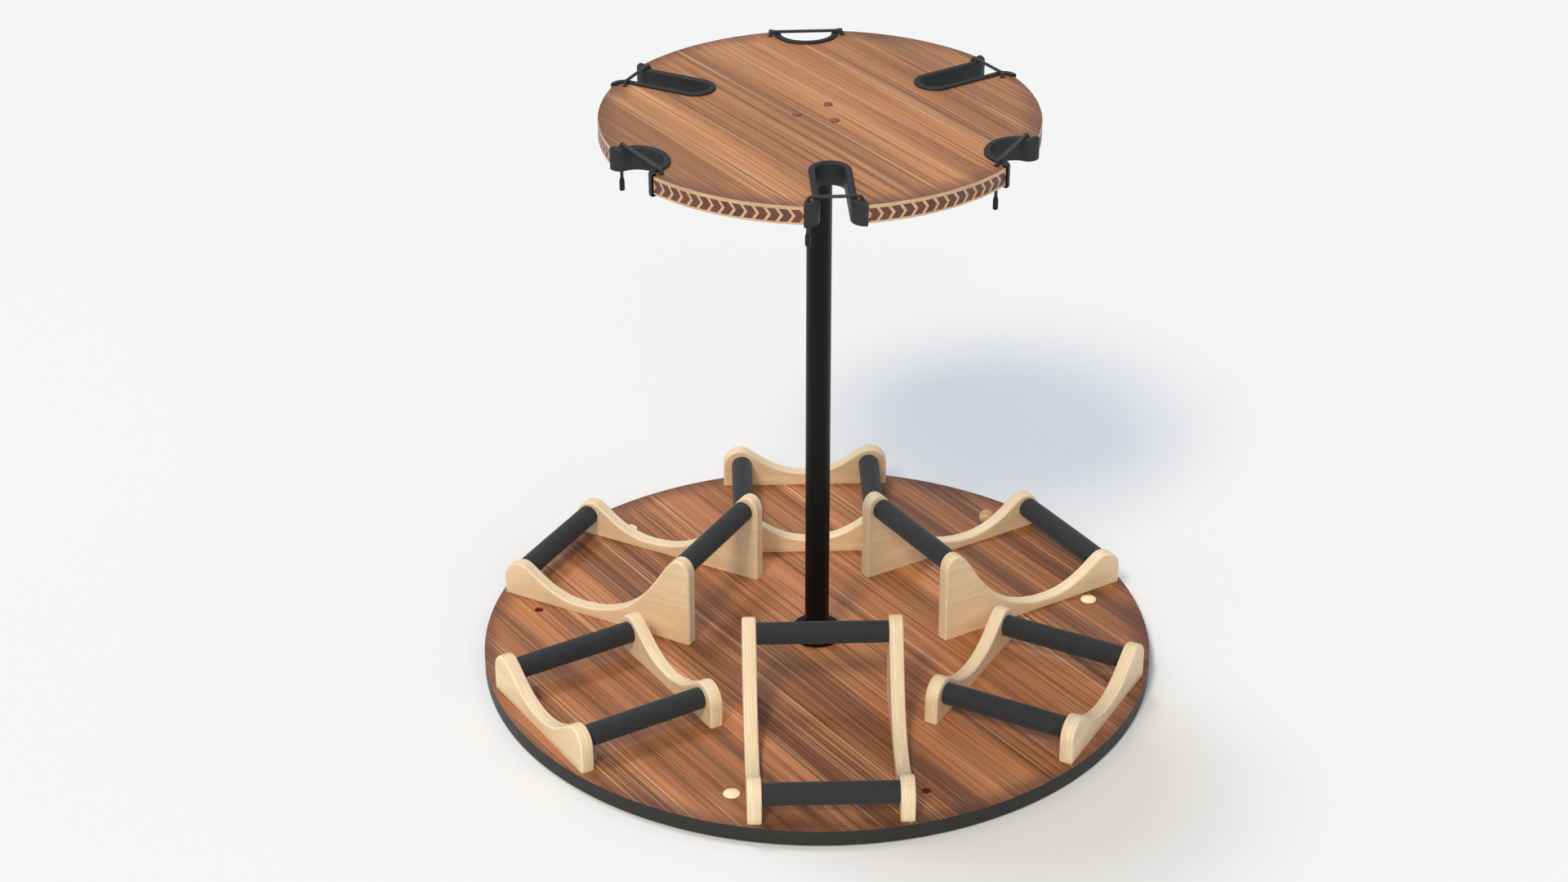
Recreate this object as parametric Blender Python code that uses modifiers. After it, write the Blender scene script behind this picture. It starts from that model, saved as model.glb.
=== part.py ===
"""Rotating six-place instrument stand: a round deck on a ball bearing carries a pole,
six padded cradles and a slotted top disc whose lined slots are closed by cord straps.

Units are metres, +Z is up, the floor is z = 0 and the turning axis is the Z axis.
Place 1 is at the front (-Y); the places follow counter-clockwise, 60 degrees apart.
Odd places have a tall cradle under a narrow slot, even places a low cradle under a wide slot.
"""

import math

import bmesh
import bpy
from mathutils import Matrix, Vector

# ---- clearances -----------------------------------------------------------------------
GAP = 0.0003  # between pieces that touch
SLIDE_GAP = 0.0005  # round a piece that slides in a hole

# ---- stationary base and bearing ------------------------------------------------------
GROUND_RADIUS = 0.400
GROUND_THICKNESS = 0.005
BEARING_RADIUS = 0.1365  # circle of the balls
BEARING_HEIGHT = 0.0075
BEARING_RING_WIDTH = 0.0145
BEARING_LIFT = 0.0010  # outer ring stands this much higher than the inner one
BALL_RADIUS = 0.0022
RACE_CLEARANCE = 0.0006  # clears the corners of the faceted rings as they turn
RING_SPLIT = 0.0012  # half of the gap between the two rings
RECESS_MARGIN = 0.0040  # clear of the rings, in the deck's underside

# ---- deck -----------------------------------------------------------------------------
DECK_RADIUS = 0.4568
DECK_TOP = 0.0233
DECK_THICKNESS = 0.0160
RIM_LIP = 0.0006  # thickness of the face veneer that covers the edge band
BAND_THICKNESS = 0.0016
BAND_FLOOR_CLEARANCE = 0.0015
FITTING_RADIUS = 0.393  # plugs and sockets lie on this circle
FITTING_ANGLE = 18.5  # degrees either side of a tall cradle
PLUG_RADIUS = 0.0110
PLUG_HEIGHT = 0.0030
PLUG_PEG_RADIUS = 0.0066
PLUG_DEPTH = 0.0040
SOCKET_RADIUS = 0.0060
SOCKET_DEPTH = 0.0130
KNOB_RADIUS = 0.0112
KNOB_PLACE = 3  # the tall cradle beside which the knob stands
KNOB_PEG_DEPTH = 0.0120

# ---- pole -----------------------------------------------------------------------------
TUBE_RADIUS = 0.0165
TUBE_WALL = 0.0020
TUBE_SEAT = 0.0090  # depth of the tube in the deck
COLLAR_RADIUS = 0.0335
COLLAR_HEIGHT = 0.0152
COLLAR_ROUND = 0.0030
FLANGE_RADIUS = 0.0450
FLANGE_THICKNESS = 0.0060
FLANGE_BOSS_RADIUS = 0.0220
FLANGE_BOSS_HEIGHT = 0.0200

# ---- top disc -------------------------------------------------------------------------
TOP_RADIUS = 0.280
TOP_FACE = 0.8026
TOP_THICKNESS = 0.0240
TOP_TURN = 1.5  # degrees that the slots are turned on from the cradles under them
CAP_CIRCLE = 0.0297
CAP_RADIUS = 0.0056
CAP_HEIGHT = 0.0024
CAP_PEG_RADIUS = 0.0034
CAP_DEPTH = 0.0030
CAP_FIRST_ANGLE = 67.0

# ---- slots, liners and straps: (narrow, wide) by kind of place --------------------------
LINER_WALL = 0.0032
LINER_FLANGE = 0.0050  # width that the flange covers on the wood
LINER_FLANGE_THICKNESS = 0.0030
LINER_ROUND = 0.0015
SLOT_HALF_WIDTH = {"tall": 0.0215, "low": 0.0370}
SLOT_END_DEPTH = {"tall": 0.0215, "low": 0.0310}  # depth of the rounded inner end
SLOT_INNER_RADIUS = {"tall": 0.1565, "low": 0.2340}
SLOT_CORNER = {"tall": 0.0148, "low": 0.0104}
CORD_HOLE_RADIUS = 0.0040
CORD_RADIUS = 0.0021
CORD_HOLE_INSET = {"tall": 0.0170, "low": 0.0170}  # from the rim, measured along the slot
CORD_HOLE_ACROSS = {"tall": 0.0325, "low": 0.0480}
CORD_BEND = 0.0045
CORD_TAIL = 0.0015  # straight down after the bend, to the toggle's stem
CORD_STOP_RADIUS = 0.0056
CORD_STOP_HEIGHT = 0.0050
TOGGLE_RADIUS = 0.0034
TOGGLE_LENGTH = 0.0175
TOGGLE_DROP = 0.0410  # from the top face down to the toggle's shoulder
TOGGLE_TAPER = 0.0050
TOGGLE_TIP_RADIUS = 0.0014  # flat at the very end

# ---- cradles --------------------------------------------------------------------------
PLY = 0.0190
BAR_RADIUS = 0.0150
ROD_RADIUS = 0.0080
ROD_SEAT = 0.0085
ROD_BORE_DEPTH = 0.0090
TALL_GAP = 0.1748  # between the two sides of a tall cradle
TALL_INNER = 0.1415  # radius at which a tall side begins
TALL_OUTER = 0.4400
TALL_INNER_HORN = 0.1290
TALL_OUTER_HORN = 0.0515
TALL_DIP_RADIUS = 0.3180
TALL_DIP = 0.0120
TALL_INNER_BAR = (0.0215, 0.1080)  # (from the side's inner end, above the deck)
TALL_OUTER_BAR = (0.0215, 0.0315)  # (from the side's outer end, above the deck)
LOW_GAP = 0.1748
LOW_INNER = 0.2225
LOW_HALF_LENGTH = 0.1210
LOW_HORN = 0.0580
LOW_DIP = 0.0190
LOW_BAR = (0.0265, 0.0355)  # (from the side's end, above the deck)
# The rounded end of each horn is a quarter ellipse (run, rise); from its crown a flat-topped curve
# sweeps down to the dip. A sweep is the length of the Bezier handle there.
TALL_INNER_END = (0.0170, 0.0220)
TALL_OUTER_END = (0.0270, 0.0255)
TALL_INNER_SWEEP = 0.0300
TALL_DIP_SWEEPS = (0.1150, 0.0560)
TALL_OUTER_SWEEP = 0.0150
LOW_END = (0.0255, 0.0250)
LOW_SWEEP = 0.0180
LOW_DIP_SWEEP = 0.0560

# ---- roundness ------------------------------------------------------------------------
DECK_STEPS = 60
TOP_STEPS = 72
RING_STEPS = 48
POLE_STEPS = 24
SMALL_STEPS = 12
KNOB_STEPS = 16
KNOB_BANDS = 7
BAR_STEPS = 14
CORNER_STEPS = 4
SLOT_END_STEPS = 10
BEND_STEPS = 4
CURVE_STEPS = 5
TOGGLE_STEPS = 10
ARC_HANDLE = 0.5523  # Bezier handle of a quarter circle, as a share of its radius
WELD = 0.00001  # points this close are one
CUT_PAST = 0.0100  # how far a cutter stands out of what it cuts
SMOOTH_ANGLE = 35

PLACES = [
    (place, 270 + 60 * (place - 1), "tall" if place % 2 else "low")
    for place in range(1, 7)
]
TOP_UNDERSIDE = TOP_FACE - TOP_THICKNESS
DECK_UNDERSIDE = DECK_TOP - DECK_THICKNESS
STRAP_HEIGHT = TOP_FACE + GAP + LINER_FLANGE_THICKNESS + GAP + CORD_RADIUS

for old in list(bpy.data.objects):
    bpy.data.objects.remove(old)

parts = bpy.data.collections.new("instrument_carousel")
cutters = bpy.data.collections.new("cutters")
bpy.context.scene.collection.children.link(parts)
bpy.context.scene.collection.children.link(cutters)


# ---- materials ------------------------------------------------------------------------
def material(name, colour, roughness, metallic=0.0):
    made = bpy.data.materials.new(name)
    made.use_nodes = True
    shader = made.node_tree.nodes["Principled BSDF"]
    shader.inputs["Base Color"].default_value = (*colour, 1)
    shader.inputs["Roughness"].default_value = roughness
    shader.inputs["Metallic"].default_value = metallic
    made.diffuse_color = (*colour, 1)
    return made


DECK_WOOD = material("deck_wood", (0.30, 0.13, 0.07), 0.45)
TOP_WOOD = material("top_wood", (0.47, 0.22, 0.11), 0.42)
PLY_WOOD = material("birch_ply", (0.76, 0.57, 0.35), 0.5)
BLACK_STEEL = material("black_steel", (0.012, 0.011, 0.010), 0.38, 0.4)
BRIGHT_STEEL = material("bearing_steel", (0.55, 0.56, 0.58), 0.3, 1.0)
BLACK_RUBBER = material("black_rubber", (0.030, 0.032, 0.035), 0.7)
BLACK_FOAM = material("black_foam", (0.027, 0.030, 0.034), 0.9)
BLACK_CORD = material("black_cord", (0.020, 0.021, 0.023), 0.6)
EDGE_BAND = material("edge_band", (0.040, 0.040, 0.041), 0.5)
GROUND_BOARD = material("ground_board", (0.060, 0.055, 0.050), 0.7)
PALE_WOOD = material("pale_wood", (0.90, 0.78, 0.55), 0.45)
KNOB_WOOD = material("knob_wood", (0.62, 0.42, 0.22), 0.5)
CAP_RED = material("cap_red", (0.22, 0.06, 0.045), 0.35)


# ---- building blocks ------------------------------------------------------------------
def new_object(name, mesh, finish, collection=parts, parent=None):
    made = bpy.data.objects.new(name, mesh)
    collection.objects.link(made)
    made.parent = parent
    if finish is not None and not mesh.materials:
        mesh.materials.append(finish)
    return made


def empty(name, location=(0, 0, 0), turn=0.0, parent=None):
    made = bpy.data.objects.new(name, None)
    made.location = location
    made.rotation_euler = (0, 0, math.radians(turn))
    made.parent = parent
    parts.objects.link(made)
    return made


def smooth(mesh):
    mesh.shade_smooth()
    mesh.set_sharp_from_angle(angle=math.radians(SMOOTH_ANGLE))
    return mesh


def turned(name, profile, steps, finish, ring=False, parent=None):
    """A profile of (radius, height) points turned about Z; ring closes the profile on itself."""
    points = [(radius, 0, height) for radius, height in profile]
    edges = [(i, i + 1) for i in range(len(points) - 1)]
    if ring:
        edges.append((len(points) - 1, 0))
    mesh = bpy.data.meshes.new(name)
    mesh.from_pydata(points, edges, [])
    made = new_object(name, mesh, finish, parent=parent)
    screw = made.modifiers.new("turn", "SCREW")
    screw.steps = screw.render_steps = steps
    screw.use_merge_vertices = True
    screw.merge_threshold = WELD
    return made


def realised(source):
    """The source's evaluated shape as a plain welded mesh; the source is removed."""
    bpy.context.view_layer.update()
    graph = bpy.context.evaluated_depsgraph_get()
    mesh = bpy.data.meshes.new_from_object(source.evaluated_get(graph))
    mesh.transform(source.matrix_world)
    bpy.data.objects.remove(source)
    shape = bmesh.new()
    shape.from_mesh(mesh)
    bmesh.ops.remove_doubles(shape, verts=shape.verts, dist=WELD)
    bmesh.ops.recalc_face_normals(shape, faces=shape.faces)
    shape.to_mesh(mesh)
    shape.free()
    return mesh


def as_cutter(made):
    made.hide_render = True
    made.display_type = "WIRE"
    return made


def rod_mesh(name, radius, length, steps):
    """A cylinder along Z that stands on its origin."""
    shape = bmesh.new()
    bmesh.ops.create_cone(
        shape, cap_ends=True, segments=steps, radius1=radius, radius2=radius, depth=length
    )
    bmesh.ops.translate(shape, verts=shape.verts, vec=(0, 0, length / 2))
    mesh = bpy.data.meshes.new(name)
    shape.to_mesh(mesh)
    shape.free()
    return mesh


def cutter_group(name):
    group = bpy.data.collections.new(name)
    cutters.children.link(group)
    return group


def cut_with(target, group):
    cut = target.modifiers.new("cuts", "BOOLEAN")
    cut.operation = "DIFFERENCE"
    cut.operand_type = "COLLECTION"
    cut.collection = group


def polar(radius, degrees, height=0.0):
    angle = math.radians(degrees)
    return (radius * math.cos(angle), radius * math.sin(angle), height)


def plate_curve(name, half_thickness):
    """An empty 2D curve, filled on both sides."""
    curve = bpy.data.curves.new(name, "CURVE")
    curve.dimensions = "2D"
    curve.fill_mode = "BOTH"
    curve.extrude = half_thickness
    return curve


def flat_plate(name, outline, half_thickness):
    """A closed outline of (x, y) points as a plate about z = 0."""
    curve = plate_curve(name, half_thickness)
    spline = curve.splines.new("POLY")
    spline.points.add(len(outline) - 1)
    for point, (x, y) in zip(spline.points, outline):
        point.co = (x, y, 0, 1)
    spline.use_cyclic_u = True
    return realised(new_object(name, curve, None, cutters))


# ---- stationary base and bearing ------------------------------------------------------
def ground_plate():
    mesh = rod_mesh("ground_plate", GROUND_RADIUS, GROUND_THICKNESS, DECK_STEPS)
    new_object("ground_plate", smooth(mesh), GROUND_BOARD)


def bearing():
    """Two concentric rings with facing grooves, and the race of balls that runs in them."""
    bottom = GROUND_THICKNESS + GAP
    top = bottom + BEARING_HEIGHT
    middle = bottom + (BEARING_HEIGHT + BEARING_LIFT) / 2
    reach = BALL_RADIUS + RACE_CLEARANCE
    groove = math.sqrt(reach**2 - RING_SPLIT**2)
    inner_edge = BEARING_RADIUS - RING_SPLIT
    outer_edge = BEARING_RADIUS + RING_SPLIT
    inner = [
        (inner_edge - BEARING_RING_WIDTH, top),
        (inner_edge, top),
        (inner_edge, middle + groove),
        (BEARING_RADIUS - reach, middle + groove / 2),
        (BEARING_RADIUS - reach, middle - groove / 2),
        (inner_edge, middle - groove),
        (inner_edge, bottom),
        (inner_edge - BEARING_RING_WIDTH, bottom),
    ]
    outer = [
        (outer_edge, top + BEARING_LIFT),
        (outer_edge + BEARING_RING_WIDTH, top + BEARING_LIFT),
        (outer_edge + BEARING_RING_WIDTH, bottom + BEARING_LIFT),
        (outer_edge, bottom + BEARING_LIFT),
        (outer_edge, middle - groove),
        (BEARING_RADIUS + reach, middle - groove / 2),
        (BEARING_RADIUS + reach, middle + groove / 2),
        (outer_edge, middle + groove),
    ]
    sides = 6
    race = [
        (
            BEARING_RADIUS + BALL_RADIUS * math.sin(math.tau * k / sides),
            middle + BALL_RADIUS * math.cos(math.tau * k / sides),
        )
        for k in range(sides)
    ]
    turned("bearing_inner_ring", inner, RING_STEPS, BRIGHT_STEEL, ring=True)
    turned("bearing_outer_ring", outer, RING_STEPS, BRIGHT_STEEL, ring=True)
    turned("bearing_ball_race", race, RING_STEPS, BRIGHT_STEEL, ring=True)


# ---- deck -----------------------------------------------------------------------------
def base_deck():
    recess_inner = BEARING_RADIUS - RING_SPLIT - BEARING_RING_WIDTH - RECESS_MARGIN
    recess_outer = BEARING_RADIUS + RING_SPLIT + BEARING_RING_WIDTH + RECESS_MARGIN
    recess_top = GROUND_THICKNESS + GAP + BEARING_HEIGHT + BEARING_LIFT + GAP
    seat_radius = TUBE_RADIUS + GAP
    seat_floor = DECK_TOP - TUBE_SEAT - GAP
    core_radius = DECK_RADIUS - BAND_THICKNESS - GAP
    profile = [
        (0, seat_floor),
        (seat_radius, seat_floor),
        (seat_radius, DECK_TOP),
        (DECK_RADIUS, DECK_TOP),
        (DECK_RADIUS, DECK_TOP - RIM_LIP),
        (core_radius, DECK_TOP - RIM_LIP),
        (core_radius, DECK_UNDERSIDE),
        (recess_outer, DECK_UNDERSIDE),
        (recess_outer, recess_top),
        (recess_inner, recess_top),
        (recess_inner, DECK_UNDERSIDE),
        (0, DECK_UNDERSIDE),
    ]
    deck = turned("base_deck", profile, DECK_STEPS, DECK_WOOD)
    group = cutter_group("deck_cutters")
    for place, angle, kind in PLACES:
        if kind != "tall":
            continue
        holes = (
            ("socket", angle + FITTING_ANGLE, SOCKET_RADIUS, SOCKET_DEPTH),
            ("plug_seat", angle - FITTING_ANGLE, PLUG_PEG_RADIUS + GAP, PLUG_DEPTH + GAP),
        )
        for name, at, radius, depth in holes:
            mesh = rod_mesh(name, radius, depth + CUT_PAST, SMALL_STEPS)
            hole = as_cutter(new_object(f"{name}_{place}", mesh, None, group))
            hole.location = polar(FITTING_RADIUS, at, DECK_TOP - depth)
    cut_with(deck, group)


def base_edge_band():
    outer = DECK_RADIUS
    inner = outer - BAND_THICKNESS
    top = DECK_TOP - RIM_LIP - GAP
    profile = [
        (inner, top),
        (outer, top),
        (outer, BAND_FLOOR_CLEARANCE),
        (inner, BAND_FLOOR_CLEARANCE),
    ]
    turned("base_edge_band", profile, DECK_STEPS, EDGE_BAND, ring=True)


def domed(name, radius, height, peg_radius, peg_depth, finish, location):
    """A low dome with a peg below it: its rim rests just over z = 0 of its own frame."""
    arc = [(radius * math.sin(a), height * math.cos(a)) for a in (0, math.pi / 6, math.pi / 3)]
    profile = [(r, GAP + z) for r, z in arc] + [
        (radius, GAP),
        (peg_radius, GAP),
        (peg_radius, -peg_depth),
        (0, -peg_depth),
    ]
    made = turned(name, profile, SMALL_STEPS, finish)
    made.location = location
    return made


def deck_fittings():
    for place, angle, kind in PLACES:
        if kind != "tall":
            continue
        at = polar(FITTING_RADIUS, angle - FITTING_ANGLE, DECK_TOP)
        name = f"deck_plug_{place}"
        domed(name, PLUG_RADIUS, PLUG_HEIGHT, PLUG_PEG_RADIUS, PLUG_DEPTH, PALE_WOOD, at)


def turn_knob():
    """A ball on a peg that lifts out of one of the three sockets."""
    angle = PLACES[KNOB_PLACE - 1][1] + FITTING_ANGLE
    peg_radius = SOCKET_RADIUS - SLIDE_GAP
    neck = math.sqrt(KNOB_RADIUS**2 - peg_radius**2)
    centre = neck + GAP
    last = math.pi - math.asin(peg_radius / KNOB_RADIUS)
    turns = [last * k / KNOB_BANDS for k in range(KNOB_BANDS + 1)]
    ball = [(KNOB_RADIUS * math.sin(t), centre + KNOB_RADIUS * math.cos(t)) for t in turns]
    profile = ball + [(peg_radius, -KNOB_PEG_DEPTH), (0, -KNOB_PEG_DEPTH)]
    made = turned("turn_knob", profile, KNOB_STEPS, KNOB_WOOD)
    made.location = polar(FITTING_RADIUS, angle, DECK_TOP)


# ---- pole -----------------------------------------------------------------------------
def pole():
    tube_top = TOP_UNDERSIDE - GAP - FLANGE_THICKNESS - GAP
    bore = TUBE_RADIUS - TUBE_WALL
    tube = [
        (bore, tube_top),
        (TUBE_RADIUS, tube_top),
        (TUBE_RADIUS, DECK_TOP - TUBE_SEAT),
        (bore, DECK_TOP - TUBE_SEAT),
    ]
    turned("pole_tube", tube, POLE_STEPS, BLACK_STEEL, ring=True)

    collar_bottom = DECK_TOP + GAP
    collar_top = collar_bottom + COLLAR_HEIGHT
    clear = TUBE_RADIUS + GAP
    chamfer = COLLAR_ROUND * (1 - math.cos(math.pi / 4))
    collar = [
        (clear, collar_top),
        (COLLAR_RADIUS - COLLAR_ROUND, collar_top),
        (COLLAR_RADIUS - chamfer, collar_top - chamfer),
        (COLLAR_RADIUS, collar_top - COLLAR_ROUND),
        (COLLAR_RADIUS, collar_bottom),
        (clear, collar_bottom),
    ]
    turned("pole_collar", collar, POLE_STEPS, BLACK_STEEL, ring=True)

    flange_top = TOP_UNDERSIDE - GAP
    plate_bottom = flange_top - FLANGE_THICKNESS
    flange = [
        (0, flange_top),
        (FLANGE_RADIUS, flange_top),
        (FLANGE_RADIUS, plate_bottom),
        (FLANGE_BOSS_RADIUS, plate_bottom),
        (FLANGE_BOSS_RADIUS, plate_bottom - FLANGE_BOSS_HEIGHT),
        (clear, plate_bottom - FLANGE_BOSS_HEIGHT),
        (clear, plate_bottom),
        (0, plate_bottom),
    ]
    turned("top_flange", flange, POLE_STEPS, BLACK_STEEL)


# ---- slots, in a frame whose +X points out along the place ------------------------------
def corner_centre(kind):
    """Centre of the rounded mouth corner, whose arc meets the slot's side and the rim smoothly."""
    across = SLOT_HALF_WIDTH[kind] + SLOT_CORNER[kind]
    return math.sqrt((TOP_RADIUS - SLOT_CORNER[kind]) ** 2 - across**2), across


def slot_path(kind):
    """The cut edge of a slot as (x, y) points, from the rim on the +Y side round to the -Y side."""
    along, across = corner_centre(kind)
    radius = SLOT_CORNER[kind]
    last = math.atan2(across, along)
    corner = []
    for k in range(CORNER_STEPS + 1):
        turn = last + (-math.pi / 2 - last) * k / CORNER_STEPS
        corner.append((along + radius * math.cos(turn), across + radius * math.sin(turn)))
    depth = SLOT_END_DEPTH[kind]
    end_centre = SLOT_INNER_RADIUS[kind] + depth
    end = []
    for k in range(SLOT_END_STEPS + 1):
        turn = math.pi / 2 + math.pi * k / SLOT_END_STEPS
        end.append(
            (end_centre + depth * math.cos(turn), SLOT_HALF_WIDTH[kind] * math.sin(turn))
        )
    if end_centre > along - SLOT_HALF_WIDTH[kind] / SLOT_END_STEPS:
        end = end[1:-1]
    return corner + end + [(x, -y) for x, y in reversed(corner)]


def slot_cutter(kind):
    path = slot_path(kind)
    x, y = path[0]
    beyond = (x + CUT_PAST, y + CUT_PAST * y / x)
    outline = [beyond, *path, (beyond[0], -beyond[1])]
    return flat_plate(f"{kind}_slot", outline, TOP_THICKNESS)


def cord_hole_at(kind, side):
    return (TOP_RADIUS - CORD_HOLE_INSET[kind], side * CORD_HOLE_ACROSS[kind])


def top_disc():
    mesh = rod_mesh("top_disc", TOP_RADIUS, TOP_THICKNESS, TOP_STEPS)
    disc = new_object("top_disc", smooth(mesh), TOP_WOOD)
    disc.location = (0, 0, TOP_UNDERSIDE)
    group = cutter_group("top_cutters")
    slots = {kind: slot_cutter(kind) for kind in ("tall", "low")}
    hole = rod_mesh("cord_hole", CORD_HOLE_RADIUS, TOP_THICKNESS + 2 * CUT_PAST, SMALL_STEPS)
    seat = rod_mesh("cap_seat", CAP_PEG_RADIUS + GAP, CAP_DEPTH + CUT_PAST, SMALL_STEPS)
    for place, angle, kind in PLACES:
        turn = Matrix.Rotation(math.radians(angle + TOP_TURN), 4, "Z")
        cut = as_cutter(new_object(f"slot_{place}", slots[kind], None, group))
        cut.matrix_world = Matrix.Translation((0, 0, TOP_FACE - TOP_THICKNESS / 2)) @ turn
        for side in (-1, 1):
            x, y = cord_hole_at(kind, side)
            cut = as_cutter(new_object(f"cord_hole_{place}", hole, None, group))
            cut.location = turn @ Vector((x, y, TOP_UNDERSIDE - CUT_PAST))
    for k in range(3):
        cut = as_cutter(new_object(f"cap_seat_{k + 1}", seat, None, group))
        cut.location = polar(CAP_CIRCLE, CAP_FIRST_ANGLE + 120 * k, TOP_FACE - CAP_DEPTH - GAP)
    cut_with(disc, group)


def screw_caps():
    for k in range(3):
        at = polar(CAP_CIRCLE, CAP_FIRST_ANGLE + 120 * k, TOP_FACE)
        domed(f"screw_cap_{k + 1}", CAP_RADIUS, CAP_HEIGHT, CAP_PEG_RADIUS, CAP_DEPTH, CAP_RED, at)


# ---- liners ---------------------------------------------------------------------------
def liner_profile():
    """Section of a liner: a wall in the slot and a flange over each face of the wood.

    x is the distance from the cut edge into the wood, y the height about the disc's middle."""
    half = TOP_THICKNESS / 2 + GAP
    face = half + LINER_FLANGE_THICKNESS
    inside = -GAP - LINER_WALL
    return [
        (-GAP, -half),
        (LINER_FLANGE, -half),
        (LINER_FLANGE, -face),
        (inside + LINER_ROUND, -face),
        (inside, LINER_ROUND - face),
        (inside, face - LINER_ROUND),
        (inside + LINER_ROUND, face),
        (LINER_FLANGE, face),
        (LINER_FLANGE, half),
        (-GAP, half),
    ]


def swept(name, path, profile):
    """A closed profile carried along a flat path of (x, y) points."""
    section = bpy.data.curves.new(f"{name}_section", "CURVE")
    section.dimensions = "2D"
    line = section.splines.new("POLY")
    line.points.add(len(profile) - 1)
    for point, (x, y) in zip(line.points, profile):
        point.co = (x, y, 0, 1)
    line.use_cyclic_u = True
    guide = as_cutter(new_object(f"{name}_section", section, None, cutters))
    curve = bpy.data.curves.new(name, "CURVE")
    curve.dimensions = "2D"
    curve.fill_mode = "NONE"
    curve.bevel_mode = "OBJECT"
    curve.bevel_object = guide
    curve.use_fill_caps = True
    spline = curve.splines.new("POLY")
    spline.points.add(len(path) - 1)
    for point, (x, y) in zip(spline.points, path):
        point.co = (x, y, 0, 1)
    mesh = realised(new_object(name, curve, None, cutters))
    bpy.data.objects.remove(guide)
    return mesh


def liners():
    shapes = {
        kind: smooth(swept(f"{kind}_liner", slot_path(kind), liner_profile()))
        for kind in ("tall", "low")
    }
    for place, angle, kind in PLACES:
        made = new_object(f"slot_liner_{place}", shapes[kind], BLACK_RUBBER)
        made.location = (0, 0, TOP_FACE - TOP_THICKNESS / 2)
        made.rotation_euler = (0, 0, math.radians(angle + TOP_TURN))


# ---- straps ---------------------------------------------------------------------------
def strap_route(kind):
    """Route of the fixed cord: up from its stop, over the liner, and bent down to the toggle's stem."""
    x, fixed = cord_hole_at(kind, 1)
    free = -fixed
    bottom = TOP_UNDERSIDE - GAP - CORD_STOP_HEIGHT / 2
    route = [(x, fixed, bottom), (x, fixed, TOP_FACE)]
    turns = [math.pi / 2 * k / BEND_STEPS for k in range(BEND_STEPS + 1)]
    for turn in turns:
        inwards = CORD_BEND * (1 - math.cos(turn))
        down = CORD_BEND * (1 - math.sin(turn))
        route.append((x, fixed - inwards, STRAP_HEIGHT - down))
    for turn in turns:
        inwards = CORD_BEND * (1 - math.sin(turn))
        down = CORD_BEND * (1 - math.cos(turn))
        route.append((x, free + inwards, STRAP_HEIGHT - down))
    route.append((x, free, STRAP_HEIGHT - CORD_BEND - CORD_TAIL))
    return route


def cord_stop():
    """The stop at the cord's fixed end: a short round block under the disc."""
    return rod_mesh("cord_stop", CORD_STOP_RADIUS, CORD_STOP_HEIGHT, SMALL_STEPS)


def strap_cord_mesh(kind):
    curve = bpy.data.curves.new(f"{kind}_cord", "CURVE")
    curve.dimensions = "3D"
    curve.bevel_depth = CORD_RADIUS
    curve.bevel_resolution = 2
    curve.use_fill_caps = True
    route = strap_route(kind)
    spline = curve.splines.new("POLY")
    spline.points.add(len(route) - 1)
    for point, at in zip(spline.points, route):
        point.co = (*at, 1)
    line = realised(new_object(f"{kind}_line", curve, None, cutters))
    cord = new_object(f"{kind}_cord", line, None, cutters)
    x, fixed = cord_hole_at(kind, 1)
    stop = as_cutter(new_object("cord_stop", cord_stop(), None, cutters))
    stop.location = (x, fixed, TOP_UNDERSIDE - GAP - CORD_STOP_HEIGHT)
    join = cord.modifiers.new("stop", "BOOLEAN")
    join.operation = "UNION"
    join.object = stop
    mesh = realised(cord)
    bpy.data.objects.remove(stop)
    return smooth(mesh)


def toggle_profile():
    """The free end: a stem through the hole and a drop-shaped toggle, about its own axis."""
    stem_top = STRAP_HEIGHT - CORD_BEND - CORD_TAIL - GAP
    shoulder = TOP_FACE - TOGGLE_DROP
    bottom = shoulder - TOGGLE_LENGTH
    end = [
        (TOGGLE_RADIUS * math.cos(turn), bottom + TOGGLE_RADIUS * (1 - math.sin(turn)))
        for turn in (0, math.pi / 4)
    ]
    return [
        (0, stem_top),
        (CORD_RADIUS, stem_top),
        (CORD_RADIUS, shoulder),
        (TOGGLE_RADIUS, shoulder - TOGGLE_TAPER),
        *end,
        (TOGGLE_TIP_RADIUS, bottom),
        (0, bottom),
    ]


def straps():
    cords = {kind: strap_cord_mesh(kind) for kind in ("tall", "low")}
    for place, angle, kind in PLACES:
        hub = empty(f"strap_{place}", turn=angle + TOP_TURN)
        new_object(f"strap_cord_{place}", cords[kind], BLACK_CORD, parent=hub)
        x, y = cord_hole_at(kind, -1)
        slider = empty(f"toggle_axis_{place}", location=(x, y, 0), parent=hub)
        turned(f"strap_toggle_{place}", toggle_profile(), TOGGLE_STEPS, BLACK_RUBBER, parent=slider)


# ---- cradles, in a frame whose +X points out along the place and z = 0 is the deck -------
def bezier_outline(name, points, half_thickness):
    """A plate from Bezier points (co, handle before, handle after) about z = 0."""
    curve = plate_curve(name, half_thickness)
    curve.resolution_u = CURVE_STEPS
    spline = curve.splines.new("BEZIER")
    spline.bezier_points.add(len(points) - 1)
    for point, (at, before, after) in zip(spline.bezier_points, points):
        point.co = (*at, 0)
        point.handle_left = (at[0] + before[0], at[1] + before[1], 0)
        point.handle_right = (at[0] + after[0], at[1] + after[1], 0)
    spline.use_cyclic_u = True
    return realised(new_object(name, curve, None, cutters))


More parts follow.
